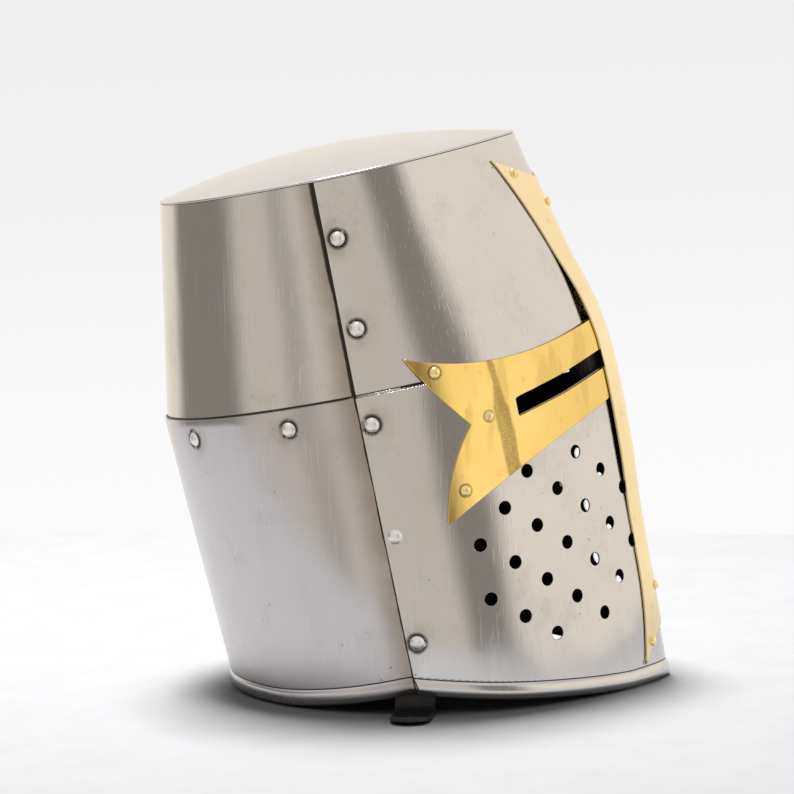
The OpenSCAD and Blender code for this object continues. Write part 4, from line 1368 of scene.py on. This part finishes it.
def patch_place(p2, off):
    r2 = (p2 ** 2).sum(1)
    return np.stack([p2[:, 0], p2[:, 1] - 4, CROWN_H + 0.6 + off + 0.5 * (1 - r2 / 900)], -1)


circle = np.array([(29.8 * math.cos(a), 29.8 * math.sin(a)) for a in np.arange(72) / 72 * 2 * math.pi])
patch = sheet("liner_crown_patch_leather", [circle], grid(-30, 30, -30, 30, 3, 3), patch_place, thick=LINER_T,
              chamfer=0.4, material=[MAT_LINER, MAT_LINER])
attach(patch, "helm")
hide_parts("liner_crown_patch")


def sight_shade_pad():
    """A dark leather pad that fills the ridge behind the sights: painted shade for the view through the
    slits.
    """
    rings = []
    for h in np.linspace(-39, 9, 17):
        e = 1 - 0.28 * abs((h + 15) / 24) ** 8
        xs = np.linspace(-21, 21, 15) * e
        front = []
        for x in xs:
            q = np.array([abs(x) / (1.5 * 99)])
            front.append((x, wall(q, np.array([h]), -0.45, False)[0, 1]))
        back_y = front[7][1] + 20 * e
        back = [(x, back_y - (abs(x) / 21) ** 2 * 2.2) for x in xs[::-1] * 0.98]
        rings.append([(x, y, h) for x, y in front + back])
    m = len(rings[0])
    v = stand(np.array([p for r in rings for p in r]))
    f = [(i * m + j, i * m + (j + 1) % m, (i + 1) * m + (j + 1) % m, (i + 1) * m + j)
         for i in range(len(rings) - 1) for j in range(m)]
    f += [tuple(range(m))[::-1], tuple(range((len(rings) - 1) * m, len(rings) * m))]
    return new_object("liner_sight_shade_pad_leather", v, f, None, MAT_LINER)


# the dark pad behind the sights stands in for the shade inside the helm
pad = sight_shade_pad()
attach(pad, "helm")

# ---------------------------------------------------------------- camera, floor and light
scene = bpy.context.scene
CAM_AROUND = math.radians(8.29)  # from straight at the wearer's right, towards the face
CAM_UP = math.radians(8.0)
CAM_ROLL = math.radians(-2.04)
CAM_AWAY = 2.5
CAM_AIM = Vector((-0.0012, 0.0084, 0.1586))
to_camera = Vector((-math.cos(CAM_AROUND) * math.cos(CAM_UP), -math.sin(CAM_AROUND) * math.cos(CAM_UP),
                    math.sin(CAM_UP)))
cam_data = bpy.data.cameras.new("camera")
cam_data.sensor_width = 36.0
cam_data.lens = 203.9
cam = bpy.data.objects.new("camera", cam_data)
scene.collection.objects.link(cam)
turn = to_camera.to_track_quat("Z", "Y").to_matrix().to_4x4()
place = Matrix.Translation(CAM_AIM + to_camera * CAM_AWAY)
cam.matrix_world = place @ turn @ Matrix.Rotation(CAM_ROLL, 4, "Z")
cam_data.clip_end = 50
scene.camera = cam

# a table seen from its side: its far edge is the horizon
FAR, NEAR, WIDE, CORNER_R = 0.46, 0.35, 0.8, 0.08
FLOOR_TURN = math.radians(-4.2)
c, d = math.cos(FLOOR_TURN), math.sin(FLOOR_TURN)
floor_v = [(x * c - y * d, x * d + y * c, 0) for x, y in rounded_rectangle(-NEAR, FAR, WIDE, CORNER_R, 8)]
floor_f = [tuple(range(len(floor_v)))]
m = Nodes("floor_white")
grainy = m.noise(30.0, 4.0, 0.6)
FLOOR_LIGHT, FLOOR_DARK = (0.83, 0.825, 0.84, 1), (0.80, 0.795, 0.81, 1)
m.link(m.blend(m.ramp(grainy, 0.35, 0.7), FLOOR_LIGHT, FLOOR_DARK), m.bsdf.inputs["Base Color"])
m.bsdf.inputs["Roughness"].default_value = 1.0
m.bsdf.inputs["Specular IOR Level"].default_value = 0.0
floor = new_object("floor", floor_v, floor_f, None, m.mat)

# a plain studio: a dim room with wide soft panels. Each panel has its compass middle and half width in
# degrees, and its brightness
DIM = 0.34
WARM = (1.0, 0.92, 0.82)
PANELS = [(130, 15, 0.45), (180, 30, 0.45), (290, 50, 0.80), (20, 40, 0.70)]
PANEL_EDGE = 8.0  # degrees to each side of a panel's edge over which it fades
FLOOR_GLOW = (0.80, 0.755, 0.78, 1)
CEILING = (0.80, 0.79, 0.82, 1)
BACKDROP_LOW, BACKDROP_HIGH = (0.97, 0.965, 0.975, 1), (0.865, 0.855, 0.87, 1)  # what the camera sees of it
FILL_LOW, FILL_HIGH = (0.02, 0.02, 0.02, 1), (0.16, 0.16, 0.16, 1)  # what a matt surface gets from it
w = Nodes("studio", world=True)
scene.world = w.mat
w.mat.cycles.sampling_method = "NONE"
east, north, up = w.split(w.new("TexCoord").outputs["Generated"])
turn_share = w.math("FRACT", w.add(w.math("DIVIDE", w.math("ARCTAN2", north, east), 2 * math.pi), 1.0))


def panel_light():
    """How bright the room is all round, as one soft step up and down for each panel."""
    total = DIM
    for middle, half, bright in PANELS:
        turned = w.sub(w.math("FRACT", w.add(turn_share, 0.5 - middle / 360)), 0.5)
        shape = w.ramp(w.math("ABSOLUTE", turned), (half + PANEL_EDGE) / 360, (half - PANEL_EDGE) / 360)
        total = w.add(w.mul(shape, bright), total)
    return total


warm_light = w.new("VectorMath", operation="SCALE")
warm_light.inputs[0].default_value = WARM
w.link(panel_light(), warm_light.inputs["Scale"])
room = w.blend(w.ramp(up, 0.40, 0.60), warm_light.outputs[0], CEILING)
room = w.blend(w.ramp(up, -0.30, -0.42), room, FLOOR_GLOW)
backdrop = w.blend(w.ramp(up, -0.165, -0.05), BACKDROP_LOW, BACKDROP_HIGH)
fill = w.blend(w.ramp(up, 0.35, 0.8), FILL_LOW, FILL_HIGH)
path_of = w.new("LightPath")
shown = w.blend(w.math("GREATER_THAN", path_of.outputs["Diffuse Depth"], 0.5), room, fill)
shown = w.blend(path_of.outputs["Is Camera Ray"], shown, backdrop)
background = w.new("Background")
w.link(shown, background.inputs[0])
w.link(background.outputs[0], w.new("OutputWorld").inputs[0])

SOFTBOX_AT, SOFTBOX_TO = Vector((0.28, 0.24, 1.8)), Vector((0, 0, 0.1))
light = bpy.data.lights.new("softbox_top", "AREA")
light.shape = "RECTANGLE"
light.size = light.size_y = 0.5
light.energy = 37
softbox = bpy.data.objects.new("softbox_top", light)
scene.collection.objects.link(softbox)
softbox.location = SOFTBOX_AT
softbox.rotation_euler = (SOFTBOX_TO - SOFTBOX_AT).to_track_quat("-Z", "Y").to_euler()

scene.view_settings.view_transform = "Standard"
scene.view_settings.look = "None"
